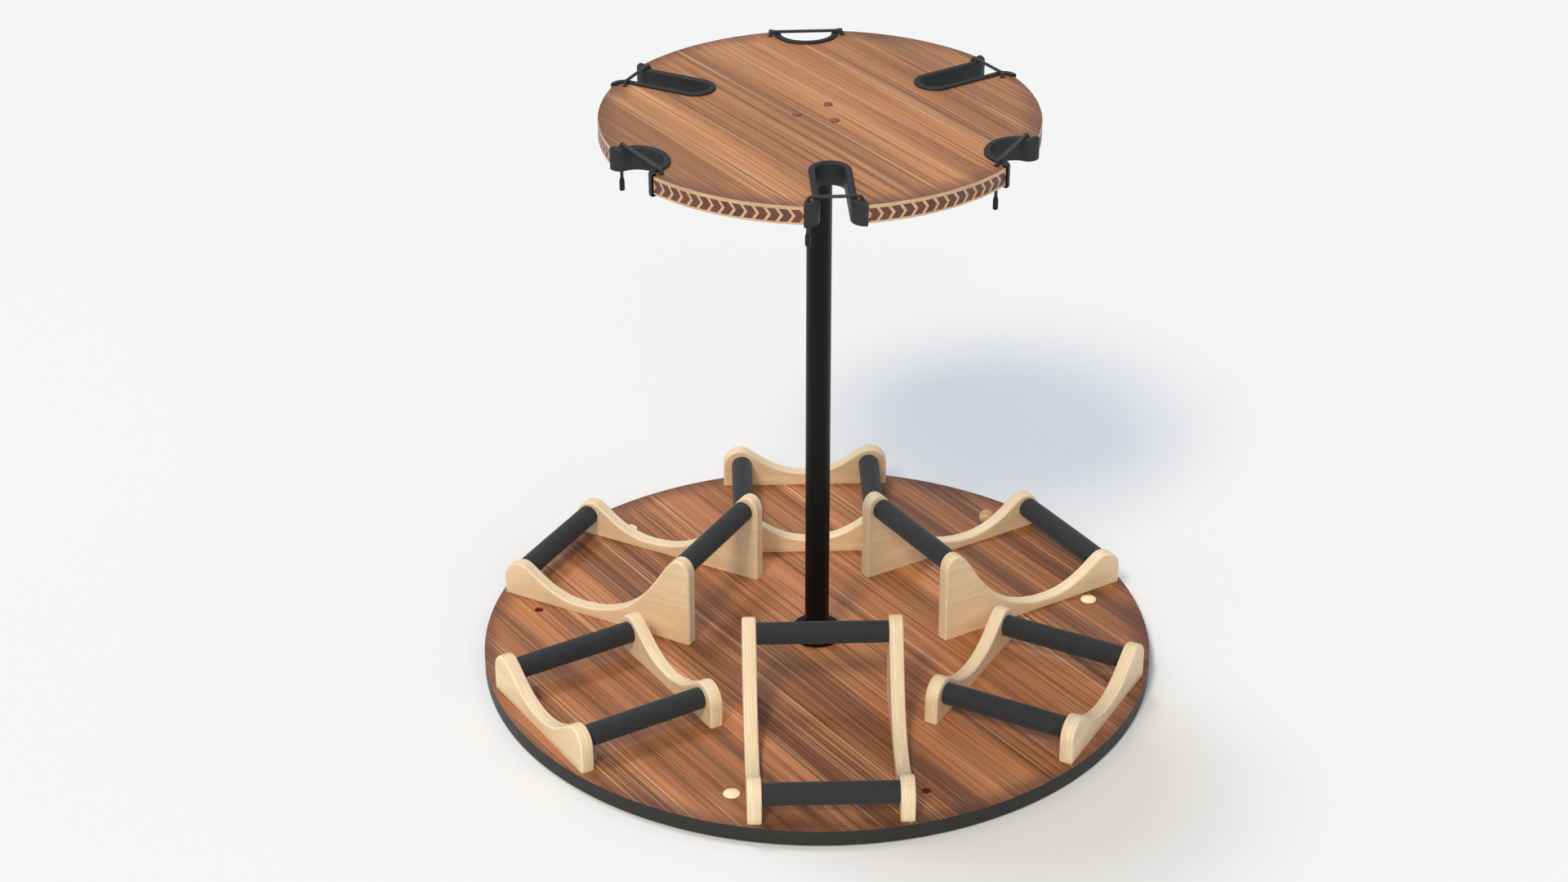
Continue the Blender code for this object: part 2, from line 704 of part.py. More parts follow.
def tall_side_outline():
    """(point, handle before, handle after), from the inner foot up over both horns."""
    none = (0, 0)
    inner_run, inner_rise = TALL_INNER_END
    outer_run, outer_rise = TALL_OUTER_END
    return [
        ((TALL_INNER, GAP), none, none),
        ((TALL_INNER, TALL_INNER_HORN - inner_rise), none, (0, inner_rise * ARC_HANDLE)),
        ((TALL_INNER + inner_run, TALL_INNER_HORN), (-inner_run * ARC_HANDLE, 0), (TALL_INNER_SWEEP, 0)),
        ((TALL_DIP_RADIUS, TALL_DIP), (-TALL_DIP_SWEEPS[0], 0), (TALL_DIP_SWEEPS[1], 0)),
        ((TALL_OUTER - outer_run, TALL_OUTER_HORN), (-TALL_OUTER_SWEEP, 0), (outer_run * ARC_HANDLE, 0)),
        ((TALL_OUTER, TALL_OUTER_HORN - outer_rise), (0, outer_rise * ARC_HANDLE), none),
        ((TALL_OUTER, GAP), none, none),
    ]


def low_side_outline():
    none = (0, 0)
    run, rise = LOW_END
    end = LOW_HALF_LENGTH
    return [
        ((-end, GAP), none, none),
        ((-end, LOW_HORN - rise), none, (0, rise * ARC_HANDLE)),
        ((-end + run, LOW_HORN), (-run * ARC_HANDLE, 0), (LOW_SWEEP, 0)),
        ((0, LOW_DIP), (-LOW_DIP_SWEEP, 0), (LOW_DIP_SWEEP, 0)),
        ((end - run, LOW_HORN), (-LOW_SWEEP, 0), (run * ARC_HANDLE, 0)),
        ((end, LOW_HORN - rise), (0, rise * ARC_HANDLE), none),
        ((end, GAP), none, none),
    ]


def bored_side(name, outline, bores):
    """A ply side with a blind bore for each rod in its +Z face, in the plane of its outline."""
    side = bpy.data.objects.new(name, bezier_outline(name, outline, PLY / 2))
    cutters.objects.link(side)
    group = cutter_group(f"{name}_bores")
    mesh = rod_mesh("rod_bore", ROD_RADIUS + GAP, ROD_BORE_DEPTH + CUT_PAST, SMALL_STEPS)
    for x, y in bores:
        bore = as_cutter(new_object("rod_bore", mesh, None, group))
        bore.location = (x, y, PLY / 2 - ROD_BORE_DEPTH)
    cut_with(side, group)
    made = realised(side)
    for bore in list(group.objects):
        bpy.data.objects.remove(bore)
    return smooth(made)


def bar_profile(gap):
    """A foam sleeve on a rod whose ends stand out of it, about the bar's own axis."""
    end = gap / 2 - GAP
    rod_end = gap / 2 + ROD_SEAT
    return [
        (0, rod_end),
        (ROD_RADIUS, rod_end),
        (ROD_RADIUS, end),
        (BAR_RADIUS, end),
        (BAR_RADIUS, -end),
        (ROD_RADIUS, -end),
        (ROD_RADIUS, -rod_end),
        (0, -rod_end),
    ]


def tall_cradle(place, hub):
    bars = {
        "inner": (TALL_INNER + TALL_INNER_BAR[0], TALL_INNER_BAR[1]),
        "outer": (TALL_OUTER - TALL_OUTER_BAR[0], TALL_OUTER_BAR[1]),
    }
    upright = Matrix.Rotation(math.pi / 2, 4, "X")
    offset = TALL_GAP / 2 + PLY / 2
    outline = tall_side_outline()
    left = bored_side(f"left_{place}", outline, bars.values())
    left.transform(Matrix.Translation((0, offset, 0)) @ upright)
    right = left.copy()
    right.transform(Matrix.Diagonal((1, -1, 1, 1)))
    right.flip_normals()
    new_object(f"tall_cradle_{place}_side_left", left, PLY_WOOD, parent=hub)
    new_object(f"tall_cradle_{place}_side_right", right, PLY_WOOD, parent=hub)
    for name, (x, z) in bars.items():
        full = f"tall_cradle_{place}_bar_{name}"
        bar = turned(full, bar_profile(TALL_GAP), BAR_STEPS, BLACK_FOAM, parent=hub)
        bar.location = (x, 0, z)
        bar.rotation_euler = (math.pi / 2, 0, 0)


def low_cradle(place, hub):
    across = LOW_HALF_LENGTH - LOW_BAR[0]
    bores = [(-across, LOW_BAR[1]), (across, LOW_BAR[1])]
    upright = Matrix.Rotation(math.pi / 2, 4, "Z") @ Matrix.Rotation(math.pi / 2, 4, "X")
    side = bored_side(f"low_{place}", low_side_outline(), bores)
    side.transform(upright)
    inner = new_object(f"low_cradle_{place}_side_inner", side, PLY_WOOD, parent=hub)
    inner.location = (LOW_INNER + PLY / 2, 0, 0)
    outer = new_object(f"low_cradle_{place}_side_outer", side, PLY_WOOD, parent=hub)
    outer.location = (LOW_INNER + PLY + LOW_GAP + PLY / 2, 0, 0)
    outer.rotation_euler = (0, 0, math.pi)
    for name, sign in (("left", 1), ("right", -1)):
        full = f"low_cradle_{place}_bar_{name}"
        bar = turned(full, bar_profile(LOW_GAP), BAR_STEPS, BLACK_FOAM, parent=hub)
        bar.location = (LOW_INNER + PLY + LOW_GAP / 2, sign * across, LOW_BAR[1])
        bar.rotation_euler = (0, math.pi / 2, 0)


def cradles():
    for place, angle, kind in PLACES:
        hub = empty(f"cradle_{place}", location=(0, 0, DECK_TOP), turn=angle)
        (tall_cradle if kind == "tall" else low_cradle)(place, hub)


ground_plate()
bearing()
base_deck()
base_edge_band()
deck_fittings()
turn_knob()
pole()
top_disc()
screw_caps()
liners()
straps()
cradles()
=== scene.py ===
"""Looks of a rotating floor stand for six stringed instruments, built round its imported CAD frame."""

import math

import bpy
import numpy as np
from mathutils import Matrix, Vector, noise
from mathutils.geometry import tessellate_polygon


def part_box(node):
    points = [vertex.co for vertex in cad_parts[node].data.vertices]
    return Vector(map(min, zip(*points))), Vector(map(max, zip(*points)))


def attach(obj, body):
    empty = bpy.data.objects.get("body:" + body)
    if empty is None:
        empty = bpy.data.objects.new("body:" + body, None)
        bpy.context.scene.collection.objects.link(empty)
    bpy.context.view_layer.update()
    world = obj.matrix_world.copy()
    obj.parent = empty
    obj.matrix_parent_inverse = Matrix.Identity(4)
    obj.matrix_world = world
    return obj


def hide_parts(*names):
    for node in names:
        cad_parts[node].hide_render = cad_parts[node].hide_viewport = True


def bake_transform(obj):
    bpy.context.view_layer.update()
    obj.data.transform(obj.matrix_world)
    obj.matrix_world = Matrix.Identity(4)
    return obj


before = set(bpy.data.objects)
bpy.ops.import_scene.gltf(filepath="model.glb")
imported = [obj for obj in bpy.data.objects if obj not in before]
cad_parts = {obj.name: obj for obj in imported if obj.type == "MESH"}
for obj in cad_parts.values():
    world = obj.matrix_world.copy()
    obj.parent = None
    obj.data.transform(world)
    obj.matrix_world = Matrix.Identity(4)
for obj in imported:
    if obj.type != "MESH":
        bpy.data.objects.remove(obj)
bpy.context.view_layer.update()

# ---- places and sizes, in metres and degrees ------------------------------------------------
PLACES = {place: 270 + 60 * (place - 1) for place in range(1, 7)}
KINDS = {place: "tall" if place % 2 else "low" for place in PLACES}

DECK_LOW, DECK_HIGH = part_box("base_deck")
DISC_LOW, DISC_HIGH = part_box("top_disc")
BAND_LOW, BAND_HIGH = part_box("base_edge_band")
TUBE_LOW, TUBE_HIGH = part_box("pole_tube")
COLLAR_LOW, COLLAR_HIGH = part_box("pole_collar")
FLANGE_LOW, FLANGE_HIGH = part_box("top_flange")
PLATE_LOW, PLATE_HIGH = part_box("ground_plate")
RACE_LOW, RACE_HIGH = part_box("bearing_ball_race")

GAP = 0.0003  # between pieces that touch
DECK_RADIUS = DECK_HIGH.x
DECK_TOP = DECK_HIGH.z
BAND_THICKNESS = 0.0016
RIM_LIP = DECK_TOP - BAND_HIGH.z - GAP
DISC_RADIUS = 0.280
DISC_MIDDLE = (DISC_LOW.z + DISC_HIGH.z) / 2
DISC_THICKNESS = DISC_HIGH.z - DISC_LOW.z
EDGE_STRIP = 0.0009  # thickness of the pale strip round the disc

SLOT_HALF_WIDTH = {"tall": 0.0215, "low": 0.0370}
SLOT_END_DEPTH = {"tall": 0.0215, "low": 0.0310}
SLOT_INNER_RADIUS = {"tall": 0.1565, "low": 0.2340}
SLOT_CORNER = {"tall": 0.0148, "low": 0.0104}
LINER_WALL = 0.0032
LINER_FLANGE = 0.0050
LINER_FLANGE_THICKNESS = 0.0030
LINER_END_ROUND = 0.0012
CORD_HOLE_RADIUS = 0.0040
CORD_RADIUS = 0.0021
CORD_HOLE_ALONG = DISC_RADIUS - 0.0170
CORD_HOLE_ACROSS = {"tall": 0.0325, "low": 0.0480}
CORD_BEND = 0.0045
CORD_TAIL = 0.0015
CORD_LEVEL = DISC_HIGH.z + GAP + LINER_FLANGE_THICKNESS + GAP + CORD_RADIUS
CORD_STOP = (0.0056, 0.0050)  # radius and height
TOGGLE_RADIUS = 0.0034
TOGGLE_LENGTH = 0.0175
TOGGLE_DROP = 0.0410
TOGGLE_TAPER = 0.0050
STEM_SEAT = 0.0040  # of the cord's end inside the toggle
STEM_GAP = 0.00005

FITTING_CIRCLE = 0.393
FITTING_ANGLE = 18.5
PLUG_RADIUS = 0.0110
PLUG_HEIGHT = 0.0030
PLUG_PEG = (0.0066, 0.0040)  # radius and depth
SOCKET_RADIUS = 0.0060
SOCKET_DEPTH = 0.0130
KNOB_PLACE = 3
KNOB_RADIUS = 0.0112
KNOB_PEG = (0.0055, 0.0120)
CAP_CIRCLE = 0.0297
CAP_FIRST_ANGLE = 67.0
CAP_RADIUS = 0.0056
CAP_HEIGHT = 0.0024
CAP_PEG = (0.0034, 0.0030)
STAIN_WALL = 0.0006  # of the lining in a socket
STAIN_DROP = 0.0004  # of its top below the deck
TUBE_WALL = 0.0020
FLANGE_PLATE = 0.0060
FLANGE_BOSS = (0.0220, 0.0200)  # radius and height
CHEVRONS_PER_STRETCH = 14
BALLS = 132
TINT_SEED = 7

PLY = 0.0190
PLY_ROUND = 0.0034
BAR_RADIUS = 0.0150
BAR_CROWN = 0.0003
BAR_EASE = 0.0016
BAR_DENT = 0.00018
CRADLE_GAP = 0.1748  # between the two sides of a cradle
TALL_INNER, TALL_OUTER = 0.1415, 0.4400
TALL_INNER_BAR = (0.1630, 0.1080)  # (radius, height above the deck)
TALL_OUTER_BAR = (0.4185, 0.0315)
LOW_INNER = 0.2225
LOW_HALF_LENGTH = 0.1210
LOW_BAR = (0.0945, 0.0355)  # (across, height above the deck)

AXIS_REACH = 1e-7  # radius under which a turned point lies on the axis
ARC = 0.5523  # Bezier handle of a quarter circle, as a share of its radius
ROUND_SIDES = 160
GRAIN_TURN = 57.0  # from +Y, clockwise
TOP_TURN = 1.5  # that the slots are turned on from the cradles under them


def polar(radius, degrees, height=0.0):
    angle = math.radians(degrees)
    return Vector((radius * math.cos(angle), radius * math.sin(angle), height))


def place_matrix(place, turned_on=0.0):
    return Matrix.Rotation(math.radians(PLACES[place] + turned_on), 4, "Z")


# ---- camera and lights --------------------------------------------------------------------
def camera():
    data = bpy.data.cameras.new("view")
    data.lens = 73.0
    data.sensor_width = 36.0
    data.clip_end = 60.0
    eye = bpy.data.objects.new("view", data)
    eye.location = (-0.1680, -3.6992, 2.3928)
    eye.rotation_euler = (math.radians(60.872), 0.0, math.radians(-1.90))
    bpy.context.scene.collection.objects.link(eye)
    bpy.context.scene.camera = eye


def sun(name, azimuth, elevation, strength, spread, colour):
    """A soft distant light; azimuth is where it stands, counter-clockwise from +X."""
    data = bpy.data.lights.new(name, "SUN")
    data.energy = strength
    data.angle = math.radians(spread)
    data.color = colour
    lamp = bpy.data.objects.new(name, data)
    towards = polar(math.cos(math.radians(elevation)), azimuth, math.sin(math.radians(elevation)))
    lamp.rotation_euler = towards.to_track_quat("Z", "Y").to_euler()
    bpy.context.scene.collection.objects.link(lamp)


def studio():
    cool = (0.863, 0.920, 1.0)
    sun("key", 243.0, 48.0, 1.39, 13.0, (1.0, 0.86, 0.665))
    sun("fill", 128.0, 62.0, 1.00, 16.0, cool)
    sun("front", 268.0, 25.0, 0.55, 40.0, cool)
    world = bpy.data.worlds.new("studio")
    world.use_nodes = True
    sky = world.node_tree.nodes["Background"]
    sky.inputs["Color"].default_value = (*cool, 1.0)
    sky.inputs["Strength"].default_value = 0.462
    bpy.context.scene.world = world
    bpy.context.scene.view_settings.view_transform = "Standard"


# ---- node graphs --------------------------------------------------------------------------
class Value:
    """A socket; arithmetic on it adds the Math nodes."""

    def __init__(self, graph, socket):
        self.graph, self.socket = graph, socket

    def maths(self, operation, *others):
        return self.graph.maths(operation, self, *others)

    def __add__(self, other):
        return self.maths("ADD", other)

    def __sub__(self, other):
        return self.maths("SUBTRACT", other)

    def __rsub__(self, other):
        return self.graph.maths("SUBTRACT", other, self)

    def __mul__(self, other):
        return self.maths("MULTIPLY", other)

    def __truediv__(self, other):
        return self.maths("DIVIDE", other)

    __radd__, __rmul__ = __add__, __mul__

    def step(self, low, high):
        """0 below low and 1 above high, smoothly; low may be the larger."""
        settings = {"interpolation_type": "SMOOTHSTEP"}
        inputs = {"Value": self, "From Min": low, "From Max": high}
        return self.graph.node("ShaderNodeMapRange", settings, inputs)["Result"]


class Outputs:
    """The outputs of a node, by name or number."""

    def __init__(self, graph, made):
        self.graph, self.made = graph, made

    def __getitem__(self, key):
        return Value(self.graph, self.made.outputs[key])


class Graph:
    """Adds nodes to a tree."""

    def __init__(self, tree):
        self.tree = tree

    def node(self, kind, settings=None, inputs=None):
        made = self.tree.nodes.new(kind)
        for key, value in (settings or {}).items():
            if key == "stops":
                ramp = made.color_ramp.elements
                while len(ramp) < len(value):
                    ramp.new(0.5)
                for element, (position, colour) in zip(ramp, value):
                    element.position = position
                    element.color = (*colour, 1.0)
            else:
                setattr(made, key, value)
        inputs = inputs or {}
        pairs = inputs.items() if isinstance(inputs, dict) else enumerate(inputs)
        for key, value in pairs:
            if isinstance(value, Value):
                self.tree.links.new(value.socket, made.inputs[key])
            else:
                made.inputs[key].default_value = value
        return Outputs(self, made)

    def maths(self, operation, *values):
        return self.node("ShaderNodeMath", {"operation": operation}, values)[0]

    def vector(self, x, y, z=0.0):
        return self.node("ShaderNodeCombineXYZ", {}, [x, y, z])[0]


def linear(red, green, blue):
    """A colour given as 0-255 screen values, as the renderer's linear values."""
    return tuple(
        c / 12.92 if c <= 0.04045 else ((c + 0.055) / 1.055) ** 2.4
        for c in (red / 255, green / 255, blue / 255)
    )


class Finish(Graph):
    """A material: pattern nodes that end in one Principled shader."""

    def __init__(self, name, **constants):
        self.material = bpy.data.materials.new(name)
        self.material.use_nodes = True
        super().__init__(self.material.node_tree)
        self.shader = self.tree.nodes["Principled BSDF"]
        for key, value in constants.items():
            socket = key.replace("_", " ").title().replace("Ior", "IOR")
            self.shader.inputs[socket].default_value = value

    def position(self):
        return self.node("ShaderNodeTexCoord")["Object"]

    def parts_of(self, vector):
        split = self.node("ShaderNodeSeparateXYZ", {}, [vector])
        return split[0], split[1], split[2]

    def noise(self, at, scale, detail=2.0, roughness=0.5):
        inputs = {"Vector": at, "Scale": scale, "Detail": detail, "Roughness": roughness}
        return self.node("ShaderNodeTexNoise", {}, inputs)["Fac"]

    def attribute(self, name):
        return self.node("ShaderNodeAttribute", {"attribute_name": name})["Fac"]

    def mix(self, factor, first, second):
        """first where factor is 0, second where it is 1."""
        first, second = ((*c, 1.0) if isinstance(c, tuple) else c for c in (first, second))
        # inputs 6 and 7 and output 2 are the Mix node's colours
        return self.node("ShaderNodeMix", {"data_type": "RGBA"}, {0: factor, 6: first, 7: second})[2]

    def ramp(self, value, *stops):
        return self.node("ShaderNodeValToRGB", {"stops": stops}, [value])["Color"]

    def paint(self, colour=None, roughness=None, height=None, depth=0.001):
        """Feeds the shader; height is a 0-1 relief that is depth metres deep."""
        for key, value in (("Base Color", colour), ("Roughness", roughness)):
            if value is not None:
                self.tree.links.new(value.socket, self.shader.inputs[key])
        if height is not None:
            bump = self.node("ShaderNodeBump", {}, {"Height": height, "Distance": depth})
            self.tree.links.new(bump["Normal"].socket, self.shader.inputs["Normal"])
        return self.material


# ---- finishes -----------------------------------------------------------------------------
def veneer(name, tones, burst, rim, seed):
    """Streaked veneer with the grain across the disc, stained darker towards the rim.

    tones are the shadow, body, light, dark line and pale line colours."""
    shadow, body, light, line, pale = (linear(*tone) for tone in tones)
    f = Finish(
        name, roughness=0.42, coat_weight=0.10, coat_roughness=0.35, specular_ior_level=0.35
    )
    place = f.position()
    turn = (0, 0, math.radians(GRAIN_TURN))
    lie = {"Vector": place, "Location": (seed, seed * 0.7, 0.0), "Rotation": turn}
    along, across, _ = f.parts_of(f.node("ShaderNodeMapping", {"vector_type": "POINT"}, lie)[0])
    sway = f.noise(f.vector(along * 0.9, across * 2.2, seed), 1.0, 2.0)
    across = across + (sway - 0.5) * 0.022

    def grain(lengthwise, crosswise, layer, detail=2.0, roughness=0.5):
        at = f.vector(along * lengthwise, across * crosswise, seed + layer)
        return f.noise(at, 1.0, detail, roughness)

    broad = grain(0.5, 17.0, 1, 2.0, 0.5)
    band = grain(0.9, 60.0, 2, 2.0, 0.5)
    streak = grain(1.6, 210.0, 3, 3.0, 0.65)
    fibre = grain(7.0, 1100.0, 4, 2.0, 0.6)
    tone = broad * 0.46 + band * 0.22 + streak * 0.32
    colour = f.ramp(tone, (0.395, shadow), (0.500, body), (0.600, light))

    rings = across * 430.0 + (grain(0.55, 9.0, 5, 1.0) - 0.5) * 26.0
    late = rings.maths("FRACT")
    crowd = grain(1.1, 30.0, 6, 2.0, 0.5)
    dark = late.step(0.42, 0.86) * (1 - late.step(0.90, 1.0)) * crowd.step(0.40, 0.62)
    thin = grain(1.4, 380.0, 10, 2.0, 0.6).step(0.46, 0.36)
    vein = (grain(0.8, 120.0, 7, 1.0, 0.4) - 0.5).maths("ABSOLUTE").step(0.020, 0.004)
    dark = dark.maths("MAXIMUM", thin * 0.9)
    dark = dark.maths("MAXIMUM", vein * streak.step(0.42, 0.58) * 0.8)
    colour = f.mix(dark * 0.74, colour, line)
    bright = grain(1.3, 360.0, 8, 2.0, 0.6).step(0.56, 0.65)
    bright = bright * grain(0.9, 34.0, 9).step(0.42, 0.56)
    colour = f.mix(bright * 0.62, colour, pale)
    colour = f.mix(fibre.step(0.60, 0.36) * 0.18, colour, line)

    x, y, _ = f.parts_of(place)
    radius = (x * x + y * y).maths("SQRT")
    ragged = radius + (streak - 0.5) * 0.030 + (band - 0.5) * 0.050
    edge = ragged.step(rim - 0.034, rim + 0.002)
    colour = f.mix(edge * 0.60, colour, linear(*burst))
    height = streak * 0.4 + fibre * 0.3 - dark * 0.6
    return f.paint(colour, 0.38 + streak * 0.14, height, 0.00022)


def birch_ply():
    """Pale birch: face grain along the piece, and ply lines on its edges."""
    f = Finish("birch_ply", roughness=0.5)
    grain = f.node("ShaderNodeUVMap", {"uv_map": "grain"})["UV"]
    along, across, _ = f.parts_of(grain)
    x, y, z = f.parts_of(f.position())
    through = f.attribute("through")
    sway = f.noise(f.vector(along * 5.0, across * 9.0, 0.0), 1.0, 2.0)
    wavy = across + (sway - 0.5) * 0.02
    figure = f.noise(f.vector(along * 7.0, wavy * 120.0, 0.3), 1.0, 4.0, 0.6)
    fleck = f.noise(f.vector(along * 60.0, wavy * 700.0, 0.7), 1.0, 2.0, 0.6)
    cloud = f.noise(f.vector(x, y, z), 9.0, 2.0)
    face = f.ramp(
        figure * 0.6 + cloud * 0.4,
        (0.34, linear(230, 199, 156)),
        (0.52, linear(243, 216, 175)),
        (0.66, linear(251, 229, 193)),
    )
    face = f.mix(fleck.step(0.56, 0.72) * 0.20, face, linear(200, 160, 114))

    depth = through + (sway - 0.5) * 0.0006
    layer = depth / 0.00146
    joint = (layer + 0.5).maths("FRACT") - 0.5
    line = joint.maths("ABSOLUTE").step(0.17, 0.04)
    run = f.noise(f.vector(x * 30.0, y * 30.0, z * 30.0 + layer.maths("ROUND") * 7.3), 1.0, 2.0)
    turn = (layer + 0.5).maths("FLOOR")
    kind = f.node("ShaderNodeTexWhiteNoise", {"noise_dimensions": "1D"}, {"W": turn})["Value"]
    end_grain = f.noise(f.vector(x * 420.0, y * 420.0, z * 420.0), 1.0, 1.0)
    pale = kind * 0.5 + end_grain * 0.5
    edge = f.ramp(pale, (0.2, linear(250, 223, 182)), (0.8, linear(255, 240, 207)))
    edge = f.mix(line * run.step(0.30, 0.56) * 0.80, edge, linear(176, 126, 80))
    on_edge = through.maths("ABSOLUTE").step(PLY / 2 - 0.0001, PLY / 2 - 0.0012)
    colour = f.mix(on_edge, face, edge)
    height = figure * 0.4 + fleck * 0.3 - line * on_edge * 0.5
    return f.paint(colour, 0.46 + figure * 0.12, height, 0.0002)


def foam():
    """Closed-cell foam: dull, faintly mottled skin with fine pits."""
    f = Finish(
        "foam_sleeve",
        roughness=0.85,
        sheen_weight=0.12,
        sheen_roughness=0.5,
        specular_ior_level=0.3,
    )
    at = f.position()
    cells = f.noise(at, 900.0, 3.0, 0.65)
    mottle = f.noise(at, 60.0, 3.0, 0.6)
    colour = f.mix(cells * 0.5 + mottle * 0.5, linear(32, 34, 36), linear(58, 60, 63))
    return f.paint(colour, 0.78 + mottle * 0.14, cells + mottle * 0.5, 0.00025)


def rubber(name, dark, pale, roughness):
    f = Finish(name, roughness=roughness, specular_ior_level=0.3)
    at = f.position()
    fine = f.noise(at, 1400.0, 2.0, 0.6)
    smudge = f.noise(at, 45.0, 3.0, 0.6)
    colour = f.mix(smudge, linear(*dark), linear(*pale))
    return f.paint(colour, roughness - 0.08 + smudge * 0.16, fine, 0.00006)


def braid():
    """Woven cord: crossing strands that follow the cord's own length."""
    f = Finish("braided_cord", roughness=0.62, sheen_weight=0.2, sheen_roughness=0.4)
    round_, along, _ = f.parts_of(f.node("ShaderNodeUVMap", {"uv_map": "wrap"})["UV"])
    one = ((round_ * 8.0 + along * 420.0) * math.tau).maths("SINE")
    two = ((round_ * 8.0 - along * 420.0) * math.tau).maths("SINE")
    weave_relief_and_gap_shade = one.maths("MAXIMUM", two) * 0.5 + 0.5
    # painted shade: the colour goes dark in the low gaps between strands and pale on the raised
    # strands, following the weave relief
    colour = f.mix(weave_relief_and_gap_shade, linear(14, 15, 17), linear(52, 54, 58))
    return f.paint(colour, 0.58 + weave_relief_and_gap_shade * 0.1, weave_relief_and_gap_shade, 0.00022)


def black_steel():
    f = Finish("black_steel", roughness=0.36, specular_ior_level=0.18)
    at = f.position()
    x, y, z = f.parts_of(at)
    grain = f.noise(at, 700.0, 2.0, 0.6)
    soft = f.noise(f.vector(x * 60, y * 60, z * 6.0), 1.0, 2.0)
    colour = f.mix(soft, linear(8, 7, 7), linear(17, 15, 14))
    return f.paint(colour, 0.32 + grain * 0.10, grain, 0.00005)


def bright_steel():
    f = Finish("bearing_steel", metallic=1.0, roughness=0.3)
    at = f.position()
    soft = f.noise(at, 300.0, 3.0, 0.6)
    return f.paint(f.mix(soft, linear(176, 178, 182), linear(205, 206, 208)), 0.22 + soft * 0.2)


def edge_band():
    f = Finish("edge_band", roughness=0.5, specular_ior_level=0.3)
    at = f.position()
    z = f.parts_of(at)[2]
    grain = f.noise(at, 800.0, 2.0, 0.6)
    smudge = f.noise(at, 14.0, 3.0, 0.6)
    scuff = z.step(BAND_LOW.z + 0.0035, BAND_LOW.z) * smudge.step(0.4, 0.7)
    colour = f.mix(smudge, linear(38, 38, 38), linear(48, 48, 48))
    colour = f.mix(scuff * 0.35, colour, linear(78, 76, 74))
    return f.paint(colour, 0.46 + smudge * 0.12, grain, 0.00006)


def turned_wood(name, dark, body, light, scale):
    """Small turned pieces: end grain rings with fine pores."""
    f = Finish(name, roughness=0.45, coat_weight=0.1, coat_roughness=0.3)
    at = f.position()
    x, y, z = f.parts_of(at)
    rings = f.noise(f.vector(x * scale, y * scale * 3.2, z * scale), 1.0, 4.0, 0.6)
    pore = f.noise(at, 1500.0, 2.0, 0.6)
    tones = (0.3, linear(*dark)), (0.5, linear(*body)), (0.7, linear(*light))
    colour = f.ramp(rings, *tones)
    colour = f.mix(pore.step(0.60, 0.75) * 0.25, colour, linear(*dark))
    return f.paint(colour, 0.42 + rings * 0.12, rings + pore * 0.4, 0.00012)


def maple_strip():
    f = Finish("maple_strip", roughness=0.45, coat_weight=0.1, coat_roughness=0.3)
    x, y, z = f.parts_of(f.position())
    grain = f.noise(f.vector(x * 30.0, y * 30.0, z * 900.0), 1.0, 3.0, 0.6)
    tones = (0.3, linear(178, 140, 98)), (0.5, linear(207, 172, 128)), (0.72, linear(224, 193, 150))
    colour = f.ramp(grain, *tones)
    return f.paint(colour, 0.42 + grain * 0.1, grain, 0.0001)


def rosewood():
    f = Finish("rosewood", roughness=0.42, coat_weight=0.1, coat_roughness=0.3)
    x, y, z = f.parts_of(f.position())
    tint = f.attribute("tint")
    grain = f.noise(f.vector(x * 40.0 + tint * 9.0, y * 40.0, z * 700.0), 1.0, 3.0, 0.65)
    redder = tint.step(0.72, 0.92)
    dark = f.mix(redder, f.mix(tint, linear(78, 37, 29), linear(90, 42, 33)), linear(98, 40, 31))
    light = f.mix(redder, f.mix(tint, linear(108, 60, 47), linear(122, 65, 50)), linear(132, 60, 45))
    return f.paint(f.mix(grain.step(0.3, 0.7), dark, light), 0.40 + grain * 0.1, grain, 0.0001)


def board(name, tones):
    f = Finish(name, roughness=0.7)
    at = f.position()
    chips = f.noise(at, 260.0, 4.0, 0.7)
    colour = f.mix(chips, linear(*tones[0]), linear(*tones[1]))
    return f.paint(colour, 0.62 + chips * 0.2, chips, 0.0002)


def floor_finish():
    f = Finish("floor", roughness=0.55, specular_ior_level=0.25)
    cloud = f.noise(f.position(), 0.7, 2.0)
    return f.paint(f.mix(cloud, (0.90, 0.90, 0.90), (0.92, 0.92, 0.92)))


TOP_TONES = ((160, 110, 74), (200, 133, 82), (220, 153, 100), (96, 56, 38), (248, 208, 160))
DECK_TONES = ((128, 80, 52), (196, 127, 81), (228, 157, 106), (62, 36, 25), (250, 202, 156))
FINISHES = {
    "top_wood": veneer("top_veneer", TOP_TONES, (92, 56, 52), DISC_RADIUS, 3.1),
    "deck_wood": veneer("deck_veneer", DECK_TONES, (74, 42, 38), DECK_RADIUS, 11.7),
    "birch_ply": birch_ply(),
    "bar_foam": foam(),
    "liner_rubber": rubber("liner_rubber", (34, 35, 37), (46, 48, 51), 0.55),
    "toggle_rubber": rubber("toggle_rubber", (12, 12, 13), (20, 20, 22), 0.42),
    "strap_cord": braid(),
    "black_steel": black_steel(),
    "bearing_steel": bright_steel(),
    "edge_band": edge_band(),
    "pale_wood": turned_wood("pale_wood", (232, 205, 155), (250, 232, 190), (255, 244, 212), 60.0),
    "knob_wood": turned_wood("knob_wood", (168, 122, 78), (205, 165, 118), (226, 190, 146), 90.0),
    "cap_red": rubber("cap_red", (128, 68, 58), (156, 92, 80), 0.42),
    "socket_red": rubber("socket_red", (132, 44, 36), (156, 62, 50), 0.5),
    "maple_strip": maple_strip(),
    "rosewood": rosewood(),
    "ground_board": board("ground_board", ((44, 40, 36), (66, 60, 54))),
}


